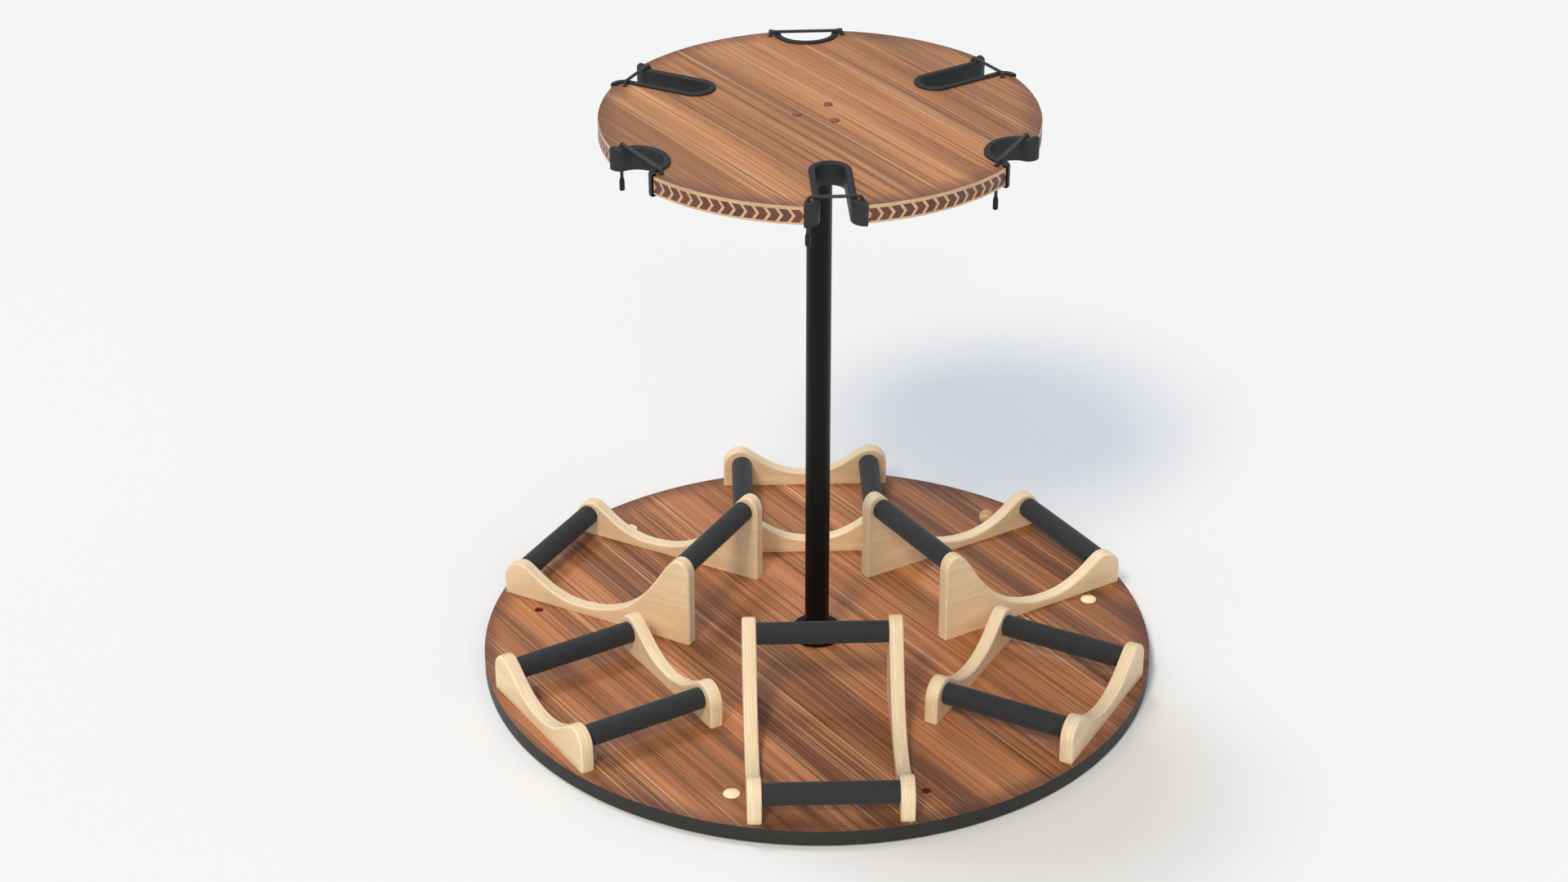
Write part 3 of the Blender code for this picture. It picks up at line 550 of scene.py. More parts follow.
# ---- shapes: points, faces and the smooth normals that go with them ---------------------------
def rounded(points, radii, steps=4):
    """A closed path with arcs for corners; radii is one number or one for each point."""
    count = len(points)
    if not hasattr(radii, "__len__"):
        radii = [radii] * count
    made = []
    for k, point in enumerate(points):
        at = np.array(point, float)
        if radii[k] <= 0:
            made.append(tuple(at))
            continue
        before = np.array(points[k - 1], float) - at
        after = np.array(points[(k + 1) % count], float) - at
        room = 0.48 * min(np.linalg.norm(before), np.linalg.norm(after))
        before /= np.linalg.norm(before)
        after /= np.linalg.norm(after)
        half = math.acos(max(-1.0, min(1.0, float(before @ after)))) / 2
        if half > math.pi / 2 - 0.01:
            made.append(tuple(at))
            continue
        reach = min(room, radii[k] / math.tan(half))
        radius = reach * math.tan(half)
        middle = before + after
        centre = at + middle / np.linalg.norm(middle) * radius / math.sin(half)
        first = at + before * reach - centre
        last = at + after * reach - centre
        sweep = math.pi - 2 * half
        for step in range(steps + 1):
            turn = sweep * step / steps
            arm = math.sin(sweep - turn) * first + math.sin(turn) * last
            made.append(tuple(centre + arm / math.sin(sweep)))
    return made


def side_normals(points, closed=True):
    """Outward unit normals of an anticlockwise path, and how far a corner's offset must reach."""
    at = np.array(points, float)
    ahead = np.roll(at, -1, axis=0) - at
    if not closed:
        ahead[-1] = ahead[-2]
    behind = np.roll(ahead, 1, axis=0)
    if not closed:
        behind[0] = ahead[0]
    lengths = [np.linalg.norm(v, axis=1, keepdims=True) + 1e-12 for v in (behind, ahead)]
    one, two = (
        np.stack([v[:, 1], -v[:, 0]], axis=1) / length for v, length in zip((behind, ahead), lengths)
    )
    shading = one * lengths[0] + two * lengths[1]
    shading /= np.linalg.norm(shading, axis=1, keepdims=True)
    mitre = (one + two) / np.maximum(1 + (one * two).sum(axis=1, keepdims=True), 0.3)
    return shading, mitre


def as_mesh(name, points, faces, normals):
    """A closed mesh with given normals; its faces are turned outwards whichever way they ran."""
    mesh = bpy.data.meshes.new(name)
    mesh.from_pydata([tuple(p) for p in points], [], [tuple(f) for f in faces])
    if signed_volume(mesh) < 0:
        mesh.flip_normals()
    mesh.shade_smooth()
    mesh.normals_split_custom_set_from_vertices([tuple(n) for n in normals])
    return mesh


def signed_volume(mesh):
    mesh.calc_loop_triangles()
    corners = np.empty(3 * len(mesh.loop_triangles), int)
    mesh.loop_triangles.foreach_get("vertices", corners)
    at = np.empty(3 * len(mesh.vertices))
    mesh.vertices.foreach_get("co", at)
    one, two, three = at.reshape(-1, 3)[corners.reshape(-1, 3)].transpose(1, 0, 2)
    return float((one * np.cross(two, three)).sum())


def turned(name, profile, sides=48):
    """A closed anticlockwise outline of (radius, height) points, turned about Z."""
    shading, _ = side_normals(profile)
    points, normals, faces, rows = [], [], [], []
    turns = [math.tau * k / sides for k in range(sides)]
    for (radius, height), (out, up) in zip(profile, shading):
        if radius < AXIS_REACH:
            rows.append([len(points)] * sides)
            points.append((0, 0, height))
            normals.append((0, 0, 1 if up >= 0 else -1))
            continue
        rows.append(range(len(points), len(points) + sides))
        points += [(radius * math.cos(t), radius * math.sin(t), height) for t in turns]
        normals += [(out * math.cos(t), out * math.sin(t), up) for t in turns]
    for here, there in zip(rows, rows[1:] + rows[:1]):
        if here[0] == here[1] and there[0] == there[1]:
            continue
        for k in range(sides):
            j = (k + 1) % sides
            faces.append(list(dict.fromkeys((here[k], here[j], there[j], there[k]))))
    return as_mesh(name, points, faces, normals)


def plate(name, walls):
    """A flat piece with holes. Each wall is (points, profile): a path, anticlockwise outside and
    clockwise in a hole, and the (inset, height) steps of its side from the top face to the bottom."""
    points, normals, faces, tops, bottoms = [], [], [], [], []
    for path, profile, *given in walls:
        shading, mitre = given[0] if given else side_normals(path)
        at = np.array(path, float)
        flip = np.array([(-inset, height) for inset, height in profile])
        slopes, _ = side_normals([tuple(p) for p in flip[::-1]], closed=False)
        slopes = slopes[::-1]
        rows = []
        for step, (inset, height) in enumerate(profile):
            rows.append(range(len(points), len(points) + len(path)))
            ring = at - mitre * inset
            out, up = slopes[step]
            if step in (0, len(profile) - 1):
                out, up = 0.0, -1.0 if step else 1.0
            points.extend((x, y, height) for x, y in ring)
            normals.extend((nx * out, ny * out, up) for nx, ny in shading)
        for above, below in zip(rows, rows[1:]):
            for k in range(len(path)):
                j = (k + 1) % len(path)
                faces.append((above[k], below[k], below[j], above[j]))
        tops.append(rows[0])
        bottoms.append(rows[-1])
    for rings, flipped in ((tops, False), (bottoms, True)):
        order = [i for ring in rings for i in ring]
        loops = [[Vector(points[i]) for i in ring] for ring in rings]
        for a, b, c in tessellate_polygon(loops):
            face = [order[a], order[b], order[c]]
            (xa, ya, _), (xb, yb, _), (xc, yc, _) = (points[i] for i in face)
            upward = (xb - xa) * (yc - ya) - (yb - ya) * (xc - xa) > 0
            faces.append(face[::-1] if upward == flipped else face)
    return as_mesh(name, points, faces, normals)


def swept(name, path, profile, closed=False, end_round=0.0, cap_steps=3):
    """A closed (sideways, up) profile, anticlockwise when seen from the start, carried along a flat
    path. Sideways is to the right of the path. end_round rounds the two ends over."""
    section = np.array(profile, float)
    shade, mitre = side_normals(profile)
    right, stretch = side_normals(path, closed)
    at = np.array(path, float)
    stations = [(at[k], right[k], stretch[k], 0.0, 0.0) for k in range(len(path))]
    if not closed and end_round:
        for end, inner in ((0, 1), (len(path) - 1, len(path) - 2)):
            away = at[end] - at[inner]
            away /= np.linalg.norm(away)
            caps = []
            for k in range(cap_steps + 1):
                turn = math.pi / 2 * k / cap_steps
                back = end_round * (1 - math.sin(turn))
                inset = end_round * (1 - math.cos(turn))
                caps.append((at[end] - away * back, right[end], stretch[end], inset, math.sin(turn)))
            if end == 0:
                stations[0:1] = caps[::-1]
            else:
                stations[-1:] = caps
    points, normals, faces = [], [], []
    size = len(profile)
    for middle, side, reach, inset, tilt in stations:
        ring = section - mitre * inset
        forward = np.array([-side[1], side[0]])
        facing = -forward if len(points) < size * len(stations) / 2 else forward
        for (a, b), (na, nb) in zip(ring, shade):
            points.append((*(middle + reach * a), b))
            level = math.sqrt(max(0.0, 1 - tilt * tilt))
            normals.append((*(side * na * level + facing * tilt), nb * level))
    rows = [range(k * size, (k + 1) * size) for k in range(len(stations))]
    pairs = list(zip(rows, rows[1:]))
    if closed:
        pairs.append((rows[-1], rows[0]))
    for here, there in pairs:
        for k in range(size):
            j = (k + 1) % size
            faces.append((here[k], there[k], there[j], here[j]))
    if not closed:
        faces += [rows[0][::-1], rows[-1]]
    return as_mesh(name, points, faces, normals)


def tube(name, route, radius, sides=16):
    """A round cord along a 3D route, with a UV map of turns round it and metres along it."""
    at = np.array(route, float)
    tangent = np.gradient(at, axis=0)
    tangent /= np.linalg.norm(tangent, axis=1, keepdims=True)
    length = np.concatenate([[0], np.cumsum(np.linalg.norm(np.diff(at, axis=0), axis=1))])
    points, normals, faces = [], [], []
    lead = np.cross(tangent[0], (1.0, 0.0, 0.0))
    for centre, forward in zip(at, tangent):
        lead = lead - forward * (lead @ forward)
        lead /= np.linalg.norm(lead)
        other = np.cross(forward, lead)
        for k in range(sides):
            turn = math.tau * k / sides
            normals.append(lead * math.cos(turn) + other * math.sin(turn))
            points.append(centre + normals[-1] * radius)
    for row in range(0, (len(at) - 1) * sides, sides):
        for k in range(sides):
            j = (k + 1) % sides
            faces.append((row + k, row + j, row + sides + j, row + sides + k))
    last = (len(at) - 1) * sides
    faces += [range(sides)[::-1], range(last, last + sides)]
    mesh = as_mesh(name, points, faces, normals)
    wrap = mesh.uv_layers.new(name="wrap")
    for face in mesh.polygons:
        columns = [i % sides for i in face.vertices]
        crossing = max(columns) - min(columns) > 1 and len(columns) == 4
        for loop, i, column in zip(face.loop_indices, face.vertices, columns):
            turn = column + (sides if crossing and column == 0 else 0)
            wrap.data[loop].uv = (turn / sides, length[i // sides])
    return mesh


def put(name, mesh, slot, body, *stands_for, finish=None, at=None):
    """Adds a finished piece that rides on a body and takes the place of CAD nodes."""
    if at is not None:
        mesh.transform(at)
    mesh.materials.clear()
    mesh.materials.append(FINISHES[finish or slot])
    piece = bpy.data.objects.new(name, mesh)
    bpy.context.scene.collection.objects.link(piece)
    if body is not None:
        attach(piece, body)
    if stands_for:
        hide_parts(*stands_for)
    return piece


def circle(radius, centre=(0.0, 0.0), sides=32, hole=False):
    turns = [math.tau * k / sides for k in range(sides)]
    if hole:
        turns.reverse()
    return [(centre[0] + radius * math.cos(t), centre[1] + radius * math.sin(t)) for t in turns]


def eased(radius, top, bottom, inset=0.0, steps=4):
    """Side of a plate with both edges rounded: (inset, height) from the top face to the bottom."""
    turns = [math.pi / 2 * k / steps for k in range(steps + 1)]
    upper = [(inset + radius * (1 - math.sin(t)), top - radius * (1 - math.cos(t))) for t in turns]
    lower = [(x, top + bottom - z) for x, z in reversed(upper)]
    return upper + lower


def strip_section(depth, low, high):
    """Section of a strip that lies inside a rim, for swept()."""
    return [(-depth, low), (0.0, low), (0.0, high), (-depth, high)]


# ---- deck, band, ground plate and bearing -------------------------------------------------
def fittings():
    """Where the plugs and sockets lie in the deck: (kind, place, centre)."""
    for place, angle in PLACES.items():
        if KINDS[place] == "tall":
            for kind, side in (("socket", 1), ("plug", -1)):
                yield kind, place, polar(FITTING_CIRCLE, angle + side * FITTING_ANGLE)


def deck():
    core = DECK_RADIUS - BAND_THICKNESS - GAP
    lip = DECK_TOP - RIM_LIP
    inset = DECK_RADIUS - core
    ease = eased(0.00025, DECK_TOP, lip, steps=3)
    side = ease + [(inset, lip), (inset, DECK_LOW.z)]
    walls = [(circle(DECK_RADIUS, sides=2 * ROUND_SIDES), side)]
    hole = eased(0.0003, DECK_TOP, DECK_LOW.z, steps=2)
    walls.append((circle(TUBE_HIGH.x + GAP, sides=64, hole=True), hole))
    for kind, _, at in fittings():
        radius = SOCKET_RADIUS if kind == "socket" else PLUG_PEG[0] + GAP
        walls.append((circle(radius, at, hole=True), hole))
    put("deck_board", plate("deck_board", walls), "deck_wood", "turntable", "base_deck")

    section = rounded(strip_section(BAND_THICKNESS, BAND_LOW.z, BAND_HIGH.z), 0.0004)
    rim = circle(DECK_RADIUS, sides=2 * ROUND_SIDES)
    band = swept("edge_band", rim, section, closed=True)
    put("edge_band_ring", band, "edge_band", "turntable", "base_edge_band")

    outline = circle(PLATE_HIGH.x, sides=ROUND_SIDES)
    ground = plate("ground", [(outline, eased(0.0008, PLATE_HIGH.z, PLATE_LOW.z))])
    put("ground_board", ground, "ground_board", "base", "ground_plate")


def sockets():
    """A stained lining in each socket, and the floor that closes it."""
    top, floor = DECK_TOP - STAIN_DROP, DECK_TOP - SOCKET_DEPTH
    bore = SOCKET_RADIUS - STAIN_WALL / 2
    under = floor - STAIN_WALL
    outline = [(0, under), (SOCKET_RADIUS, under), (SOCKET_RADIUS, top)]
    outline += [(bore, top), (bore, floor), (0, floor)]
    for kind, place, at in fittings():
        if kind == "socket":
            cup = turned(f"socket_{place}", outline, 32)
            at = Matrix.Translation(at)
            put(f"socket_{place}", cup, "deck_wood", "turntable", finish="socket_red", at=at)


def dome(radius, height, peg, round_=0.0006, steps=8):
    """Outline of a low dome with a peg under it; z = 0 is the surface that it sits on."""
    lip = 0.30 * height
    turns = [math.pi / 2 * k / steps for k in range(steps, 0, -1)]
    arc = [(radius * math.sin(t), lip + (height - lip) * math.cos(t)) for t in turns]
    return [
        (0, -peg[1]),
        (peg[0] - round_, -peg[1]),
        (peg[0], round_ - peg[1]),
        (peg[0], GAP),
        (radius - 0.0002, GAP),
        (radius, GAP + 0.0002),
        *[(r, GAP + z) for r, z in arc],
        (0, GAP + height),
    ]


def plugs_and_knob():
    for kind, place, at in fittings():
        seat = Matrix.Translation((at.x, at.y, DECK_TOP))
        if kind == "plug":
            mesh = turned(f"plug_{place}", dome(PLUG_RADIUS, PLUG_HEIGHT, PLUG_PEG), 64)
            put(f"plug_{place}", mesh, "pale_wood", "turntable", f"deck_plug_{place}", at=seat)
        elif place == KNOB_PLACE:
            peg, depth = KNOB_PEG
            centre = math.sqrt(KNOB_RADIUS**2 - peg**2) + GAP
            last = math.pi - math.asin(peg / KNOB_RADIUS)
            turns = [last * k / 28 for k in range(28, 0, -1)]
            ball = [(KNOB_RADIUS * math.sin(t), centre + KNOB_RADIUS * math.cos(t)) for t in turns]
            foot = [(0, -depth), (peg - 0.0006, -depth), (peg, 0.0006 - depth)]
            outline = [*foot, *ball, (0, centre + KNOB_RADIUS)]
            put("knob_ball", turned("knob", outline, 64), "knob_wood", "knob", "turn_knob", at=seat)


def seat_caps():
    for k in range(3):
        at = polar(CAP_CIRCLE, CAP_FIRST_ANGLE + 120 * k, DISC_HIGH.z)
        mesh = turned(f"cap_{k + 1}", dome(CAP_RADIUS, CAP_HEIGHT, CAP_PEG, 0.0004), 48)
        node = f"screw_cap_{k + 1}"
        put(f"red_cap_{k + 1}", mesh, "cap_red", "turntable", node, at=Matrix.Translation(at))


# ---- pole ---------------------------------------------------------------------------------
def pole():
    radius, bore = TUBE_HIGH.x, TUBE_HIGH.x - TUBE_WALL
    low, high = TUBE_LOW.z, TUBE_HIGH.z
    wall = rounded([(bore, low), (radius, low), (radius, high), (bore, high)], 0.0004)
    put("pole", turned("pole", wall, 96), "black_steel", "turntable", "pole_tube")
    clear, reach = radius + GAP, COLLAR_HIGH.x
    low, high = COLLAR_LOW.z, COLLAR_HIGH.z
    collar = [(clear, low), (reach, low), (reach, high), (clear, high)]
    collar = rounded(collar, [0.0003, 0.0006, 0.0032, 0.0010], 6)
    put("foot_collar", turned("collar", collar, 96), "black_steel", "turntable", "pole_collar")
    rim, (boss, height) = FLANGE_HIGH.x, FLANGE_BOSS
    shelf = FLANGE_HIGH.z - FLANGE_PLATE
    under, face = shelf - height, FLANGE_HIGH.z
    flange = [(0, shelf), (clear, shelf), (clear, under), (boss, under)]
    flange += [(boss, shelf), (rim, shelf), (rim, face), (0, face)]
    flange = rounded(flange, [0, 0.0003, 0.0006, 0.0012, 0.0018, 0.0012, 0.0006, 0], 4)
    put("disc_flange", turned("flange", flange, 96), "black_steel", "turntable", "top_flange")


# ---- top disc, with each slot in a frame whose +X points out along its place -----------------
def corner_centre(kind):
    across = SLOT_HALF_WIDTH[kind] + SLOT_CORNER[kind]
    return math.sqrt((DISC_RADIUS - SLOT_CORNER[kind]) ** 2 - across**2), across


def slot_edge(kind, corner_steps=12, end_steps=32):
    """The cut edge of a slot from the rim on its +Y side round to its -Y side."""
    along, across = corner_centre(kind)
    radius = SLOT_CORNER[kind]
    last = math.atan2(across, along)
    turns = [last + (-math.pi / 2 - last) * k / corner_steps for k in range(corner_steps + 1)]
    corner = [(along + radius * math.cos(t), across + radius * math.sin(t)) for t in turns]
    depth, half = SLOT_END_DEPTH[kind], SLOT_HALF_WIDTH[kind]
    centre = SLOT_INNER_RADIUS[kind] + depth
    turns = [math.pi / 2 + math.pi * k / end_steps for k in range(end_steps + 1)]
    end = [(centre + depth * math.cos(t), half * math.sin(t)) for t in turns]
    if centre > along - 0.004:
        end = end[1:-1]
    return corner + end + [(x, -y) for x, y in reversed(corner)]


def mouth_angle(kind):
    """Half of the angle that a slot's mouth takes out of the rim, in degrees."""
    along, across = corner_centre(kind)
    return math.degrees(math.atan2(across, along))


def rim_arcs(step=1.0):
    """The stretches of rim between slots: (first angle, last angle, angles)."""
    for place in PLACES:
        first = PLACES[place] + TOP_TURN + mouth_angle(KINDS[place])
        last = PLACES[place] + TOP_TURN + 60 - mouth_angle(KINDS[place % 6 + 1])
        count = round((last - first) / step)
        yield first, last, [first + (last - first) * k / count for k in range(count + 1)]


def disc():
    outline = []
    for place, (_, _, angles) in zip(PLACES, rim_arcs()):
        turn = place_matrix(place, TOP_TURN)
        for x, y in reversed(slot_edge(KINDS[place])):
            at = turn @ Vector((x, y, 0))
            outline.append((at.x, at.y))
        outline.extend(tuple(polar(DISC_RADIUS, a).xy) for a in angles[1:-1])
    top, bottom = DISC_HIGH.z, DISC_LOW.z
    walls = [(outline, eased(0.0007, top, bottom, inset=EDGE_STRIP))]
    hole = eased(0.0005, top, bottom, steps=3)
    for place in PLACES:
        for side in (1, -1):
            kind = KINDS[place]
            centre = Vector((CORD_HOLE_ALONG, side * CORD_HOLE_ACROSS[kind], 0))
            at = place_matrix(place, TOP_TURN) @ centre
            walls.append((circle(CORD_HOLE_RADIUS, at, sides=24, hole=True), hole))
    put("disc_board", plate("disc_board", walls), "top_wood", "turntable", "top_disc")

    section = strip_section(EDGE_STRIP - 0.00005, bottom + 0.0001, top - 0.0001)
    section = rounded(section, [0, 0.0006, 0.0006, 0], 3)
    for place, (_, _, angles) in zip(PLACES, rim_arcs()):
        path = [tuple(polar(DISC_RADIUS, a).xy) for a in angles]
        strip = swept(f"rim_strip_{place}", path, section)
        put(f"rim_strip_{place}", strip, "top_wood", "turntable", finish="maple_strip")


def liner_section():
    """(from the slot's edge into the wood, up): the wall in the slot and a flange over each face."""
    half = DISC_THICKNESS / 2 + GAP
    face = half + LINER_FLANGE_THICKNESS
    inside = -GAP - LINER_WALL
    corners = [
        ((-GAP, -half), 0.0),
        ((LINER_FLANGE, -half), 0.0004),
        ((LINER_FLANGE, -face), 0.0018),
        ((inside, -face), 0.0026),
        ((inside, face), 0.0026),
        ((LINER_FLANGE, face), 0.0018),
        ((LINER_FLANGE, half), 0.0004),
        ((-GAP, half), 0.0),
    ]
    return [at for at, _ in corners], [r for _, r in corners]


def liners():
    points, radii = liner_section()
    section = rounded(points[::-1], radii[::-1], 5)
    for place in PLACES:
        kind = KINDS[place]
        path = slot_edge(kind)
        mesh = swept(f"liner_{place}", path, section, end_round=LINER_END_ROUND)
        at = Matrix.Translation((0, 0, DISC_MIDDLE)) @ place_matrix(place, TOP_TURN)
        put(f"liner_{place}", mesh, "liner_rubber", "turntable", f"slot_liner_{place}", at=at)


def strap_route(kind):
    """Up from the stop, level over the liner and down to the toggle's stem."""
    x, fixed = CORD_HOLE_ALONG, CORD_HOLE_ACROSS[kind]
    low = DISC_LOW.z - GAP - CORD_STOP[1] / 2
    route = [(x, fixed, low + (DISC_HIGH.z - low) * k / 4) for k in range(5)]
    turns = [math.pi / 2 * k / 8 for k in range(9)]
    bend = [(CORD_BEND * (1 - math.cos(t)), CORD_BEND * (1 - math.sin(t))) for t in turns]
    route += [(x, fixed - inward, CORD_LEVEL - down) for inward, down in bend]
    route += [(x, (fixed - CORD_BEND) * (1 - k / 8), CORD_LEVEL) for k in range(1, 16)]
    route += [(x, -fixed + inward, CORD_LEVEL - down) for down, inward in bend]
    route.append((x, -fixed, CORD_LEVEL - CORD_BEND - CORD_TAIL))
    return route


def straps():
    top = DISC_LOW.z - GAP
    radius, height = CORD_STOP
    stop = [(0, top - height), (radius, top - height), (radius, top), (0, top)]
    stop = rounded(stop, [0, 0.0014, 0.0008, 0], 4)
    shoulder = DISC_HIGH.z - TOGGLE_DROP
    bottom = shoulder - TOGGLE_LENGTH
    drop = [
        (0, bottom),
        (TOGGLE_RADIUS, bottom),
        (TOGGLE_RADIUS, shoulder - TOGGLE_TAPER),
        (CORD_RADIUS + 0.0003, shoulder - 0.0008),
        (CORD_RADIUS + 0.0002, shoulder),
        (0, shoulder),
    ]
    drop = rounded(drop, [0, 0.0030, 0.0030, 0.0012, 0.0002, 0], 6)
    stem_foot = shoulder - STEM_SEAT
    rise = CORD_LEVEL - CORD_BEND - CORD_TAIL - STEM_GAP - stem_foot
    for place in PLACES:
        kind, toggle = KINDS[place], f"toggle_{place}"
        turn = place_matrix(place, TOP_TURN)
        route = [tuple(turn @ Vector(p)) for p in strap_route(kind)]
        mesh = tube(f"strap_{place}", route, CORD_RADIUS)
        cord = put(f"strap_{place}", mesh, "strap_cord", None, f"strap_cord_{place}")
        x, across = CORD_HOLE_ALONG, CORD_HOLE_ACROSS[kind]
        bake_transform(cord)

        at = Matrix.Translation(turn @ Vector((x, across, 0)))
        put(f"cord_stop_{place}", turned("cord_stop", stop, 32), "toggle_rubber", "turntable", at=at)

        axis = Matrix.Translation(turn @ Vector((x, -across, 0)))
        stem = [tuple(axis @ Vector((0, 0, stem_foot + rise * k / 8))) for k in range(9)]
        put(f"strap_stem_{place}", tube(f"stem_{place}", stem, CORD_RADIUS), "strap_cord", toggle)
        mesh = turned("toggle", drop, 40)
        put(toggle, mesh, "toggle_rubber", toggle, f"strap_toggle_{place}", at=axis)


# ---- cradles ------------------------------------------------------------------------------
def bezier_path(knots, steps=18):
    """Points along knots of (point, handle before, handle after); no handles, no curve."""
    path = []
    for (start, _, out), (end, back, _) in zip(knots, knots[1:]):
        path.append(start)
        if not any(out) and not any(back):
            continue
        p0, p3 = np.array(start), np.array(end)
        p1, p2 = p0 + out, p3 + back
        for k in range(1, steps):
            t = k / steps
            point = (1 - t) ** 3 * p0 + 3 * (1 - t) ** 2 * t * p1
            path.append(tuple(point + 3 * (1 - t) * t**2 * p2 + t**3 * p3))
    path.append(knots[-1][0])
    return path


# Outlines of the ply sides as (run, height above the deck), with the handles before and after.
NONE = (0.0, 0.0)
TALL_INNER_END = (0.0170, 0.0220)  # run and rise of the round end of a horn
TALL_OUTER_END = (0.0270, 0.0255)
LOW_END = (0.0255, 0.0250)
TALL_INNER_HORN, TALL_OUTER_HORN, LOW_HORN = 0.1290, 0.0515, 0.0580


def horn(end, height, rounding, sweep, side=1):
    """The round end of a side and its crown; side is 1 for a first end and -1 for a last end."""
    run, rise = rounding
    knots = [
        ((end, GAP), NONE, NONE),
        ((end, height - rise), NONE, (0.0, rise * ARC)),
        ((end + side * run, height), (-side * run * ARC, 0.0), (side * sweep, 0.0)),
    ]
    return knots if side > 0 else [(at, after, before) for at, before, after in reversed(knots)]


TALL_SIDE = [
    *horn(TALL_INNER, TALL_INNER_HORN, TALL_INNER_END, 0.0300),
    ((0.3180, 0.0120), (-0.1150, 0.0), (0.0560, 0.0)),
    *horn(TALL_OUTER, TALL_OUTER_HORN, TALL_OUTER_END, 0.0150, -1),
]
LOW_SIDE = [
    *horn(-LOW_HALF_LENGTH, LOW_HORN, LOW_END, 0.0180),
    ((0.0, 0.0190), (-0.0560, 0.0), (0.0560, 0.0)),
    *horn(LOW_HALF_LENGTH, LOW_HORN, LOW_END, 0.0180, -1),
]


def ply_side(name, knots):
    """A ply side in its own plane, its edges rounded over all along except at the flat foot."""
    path = bezier_path(knots)[::-1]
    deep = 0.03
    whole = [(path[0][0], -deep), *path, (path[-1][0], -deep)]
    shading, mitre = side_normals(whole)
    normals = (shading[1:-1], mitre[1:-1])
    mesh = plate(name, [(path, eased(PLY_ROUND, PLY / 2, -PLY / 2, steps=6), normals)])
    grain = mesh.uv_layers.new(name="grain")
    through = mesh.attributes.new("through", "FLOAT", "POINT")
    for vertex in mesh.vertices:
        through.data[vertex.index].value = vertex.co.z
    for loop in mesh.loops:
        grain.data[loop.index].uv = mesh.vertices[loop.vertex_index].co.xy
    return mesh


def dented(mesh, depth, size, seed):
    """Presses soft shallow dents into a padded piece, along its normals."""
    for vertex in mesh.vertices:
        at = vertex.co * size + Vector((seed, seed * 0.37, 0))
        vertex.co += vertex.normal * depth * noise.noise(at)
    return mesh


def foam_bar(name, gap, seed):
    """A foam sleeve along Z: lightly crowned, its ends eased where they meet the ply."""
    end, steps = gap / 2 - GAP, 44
    shares = [2 * k / steps - 1 for k in range(steps + 1)]
    shape = [(BAR_RADIUS - BAR_CROWN * share**4, end * share) for share in shares]
    ease = [0, BAR_EASE] + [0] * (steps - 1) + [BAR_EASE, 0]
    outline = rounded([(0, -end), *shape, (0, end)], ease, 4)
    return dented(turned(name, outline, 48), BAR_DENT, 26.0, seed)


def cradle_sides(place):
    kind = KINDS[place]
    base = Matrix.Translation((0, 0, DECK_TOP)) @ place_matrix(place)
    lie = Matrix.Rotation(math.pi / 2, 4, "X")
    if kind == "tall":
        knots, half = TALL_SIDE, CRADLE_GAP / 2 + PLY / 2
        spots = {"left": (0, half, 0), "right": (0, -half, 0)}
    else:
        knots, near = LOW_SIDE, LOW_INNER + PLY / 2
        lie = Matrix.Rotation(math.pi / 2, 4, "Z") @ lie
        spots = {"inner": (near, 0, 0), "outer": (near + PLY + CRADLE_GAP, 0, 0)}
    for side, spot in spots.items():
        node = f"{kind}_cradle_{place}_side_{side}"
        at = base @ Matrix.Translation(spot) @ lie
        put(f"{kind}_{place}_ply_{side}", ply_side(node, knots), "birch_ply", "turntable", node, at=at)


def cradle_bars(place):
    kind = KINDS[place]
    base = Matrix.Translation((0, 0, DECK_TOP)) @ place_matrix(place)
    if kind == "tall":
        lie = Matrix.Rotation(math.pi / 2, 4, "X")
        (near, low), (far, high) = TALL_INNER_BAR, TALL_OUTER_BAR
        spots = {"inner": (near, 0, low), "outer": (far, 0, high)}
    else:
        lie = Matrix.Rotation(math.pi / 2, 4, "Y")
        middle, (across, height) = LOW_INNER + PLY + CRADLE_GAP / 2, LOW_BAR
        spots = {"left": (middle, across, height), "right": (middle, -across, height)}
    for number, (side, spot) in enumerate(spots.items()):
        node = f"{kind}_cradle_{place}_bar_{side}"
        mesh = foam_bar(node, CRADLE_GAP, place + number * 0.5)
        at = base @ Matrix.Translation(spot) @ lie
        bar = put(f"{kind}_{place}_foam_{side}", mesh, "bar_foam", "turntable", node, at=at)


# ---- repeated pieces, made by Geometry Nodes ------------------------------------------------
def grown(name, build, sizes, finish):
    """Runs a Geometry Nodes tree that build() fills and returns its result as a plain mesh."""
    tree = bpy.data.node_groups.new(name, "GeometryNodeTree")
    tree.interface.new_socket("Geometry", in_out="OUTPUT", socket_type="NodeSocketGeometry")
    for key, value in sizes.items():
        kind = "NodeSocketInt" if isinstance(value, int) else "NodeSocketFloat"
        tree.interface.new_socket(key, in_out="INPUT", socket_type=kind)
    graph = Graph(tree)
    inputs = graph.node("NodeGroupInput")
    shape = build(graph, inputs)
    whole = graph.node("GeometryNodeRealizeInstances", {}, [shape])[0]
    coated = graph.node("GeometryNodeSetMaterial", {}, {"Geometry": whole, "Material": finish})[0]
    graph.node("NodeGroupOutput", {}, [coated])
    holder = bpy.data.objects.new(name, bpy.data.meshes.new(name))
    bpy.context.scene.collection.objects.link(holder)
    modifier = holder.modifiers.new("grow", "NODES")
    modifier.node_group = tree
    for item in tree.interface.items_tree:
        if item.in_out == "INPUT":
            modifier[item.identifier] = sizes[item.name]
    graph_now = bpy.context.evaluated_depsgraph_get()
    mesh = bpy.data.meshes.new_from_object(holder.evaluated_get(graph_now))
    bpy.data.objects.remove(holder)
    return mesh


def placed(g, shape, position=None, offset=(0.0, 0.0, 0.0)):
    inputs = {"Geometry": shape, "Offset": offset}
    if position is not None:
        inputs["Position"] = position
    return g.node("GeometryNodeSetPosition", {}, inputs)[0]


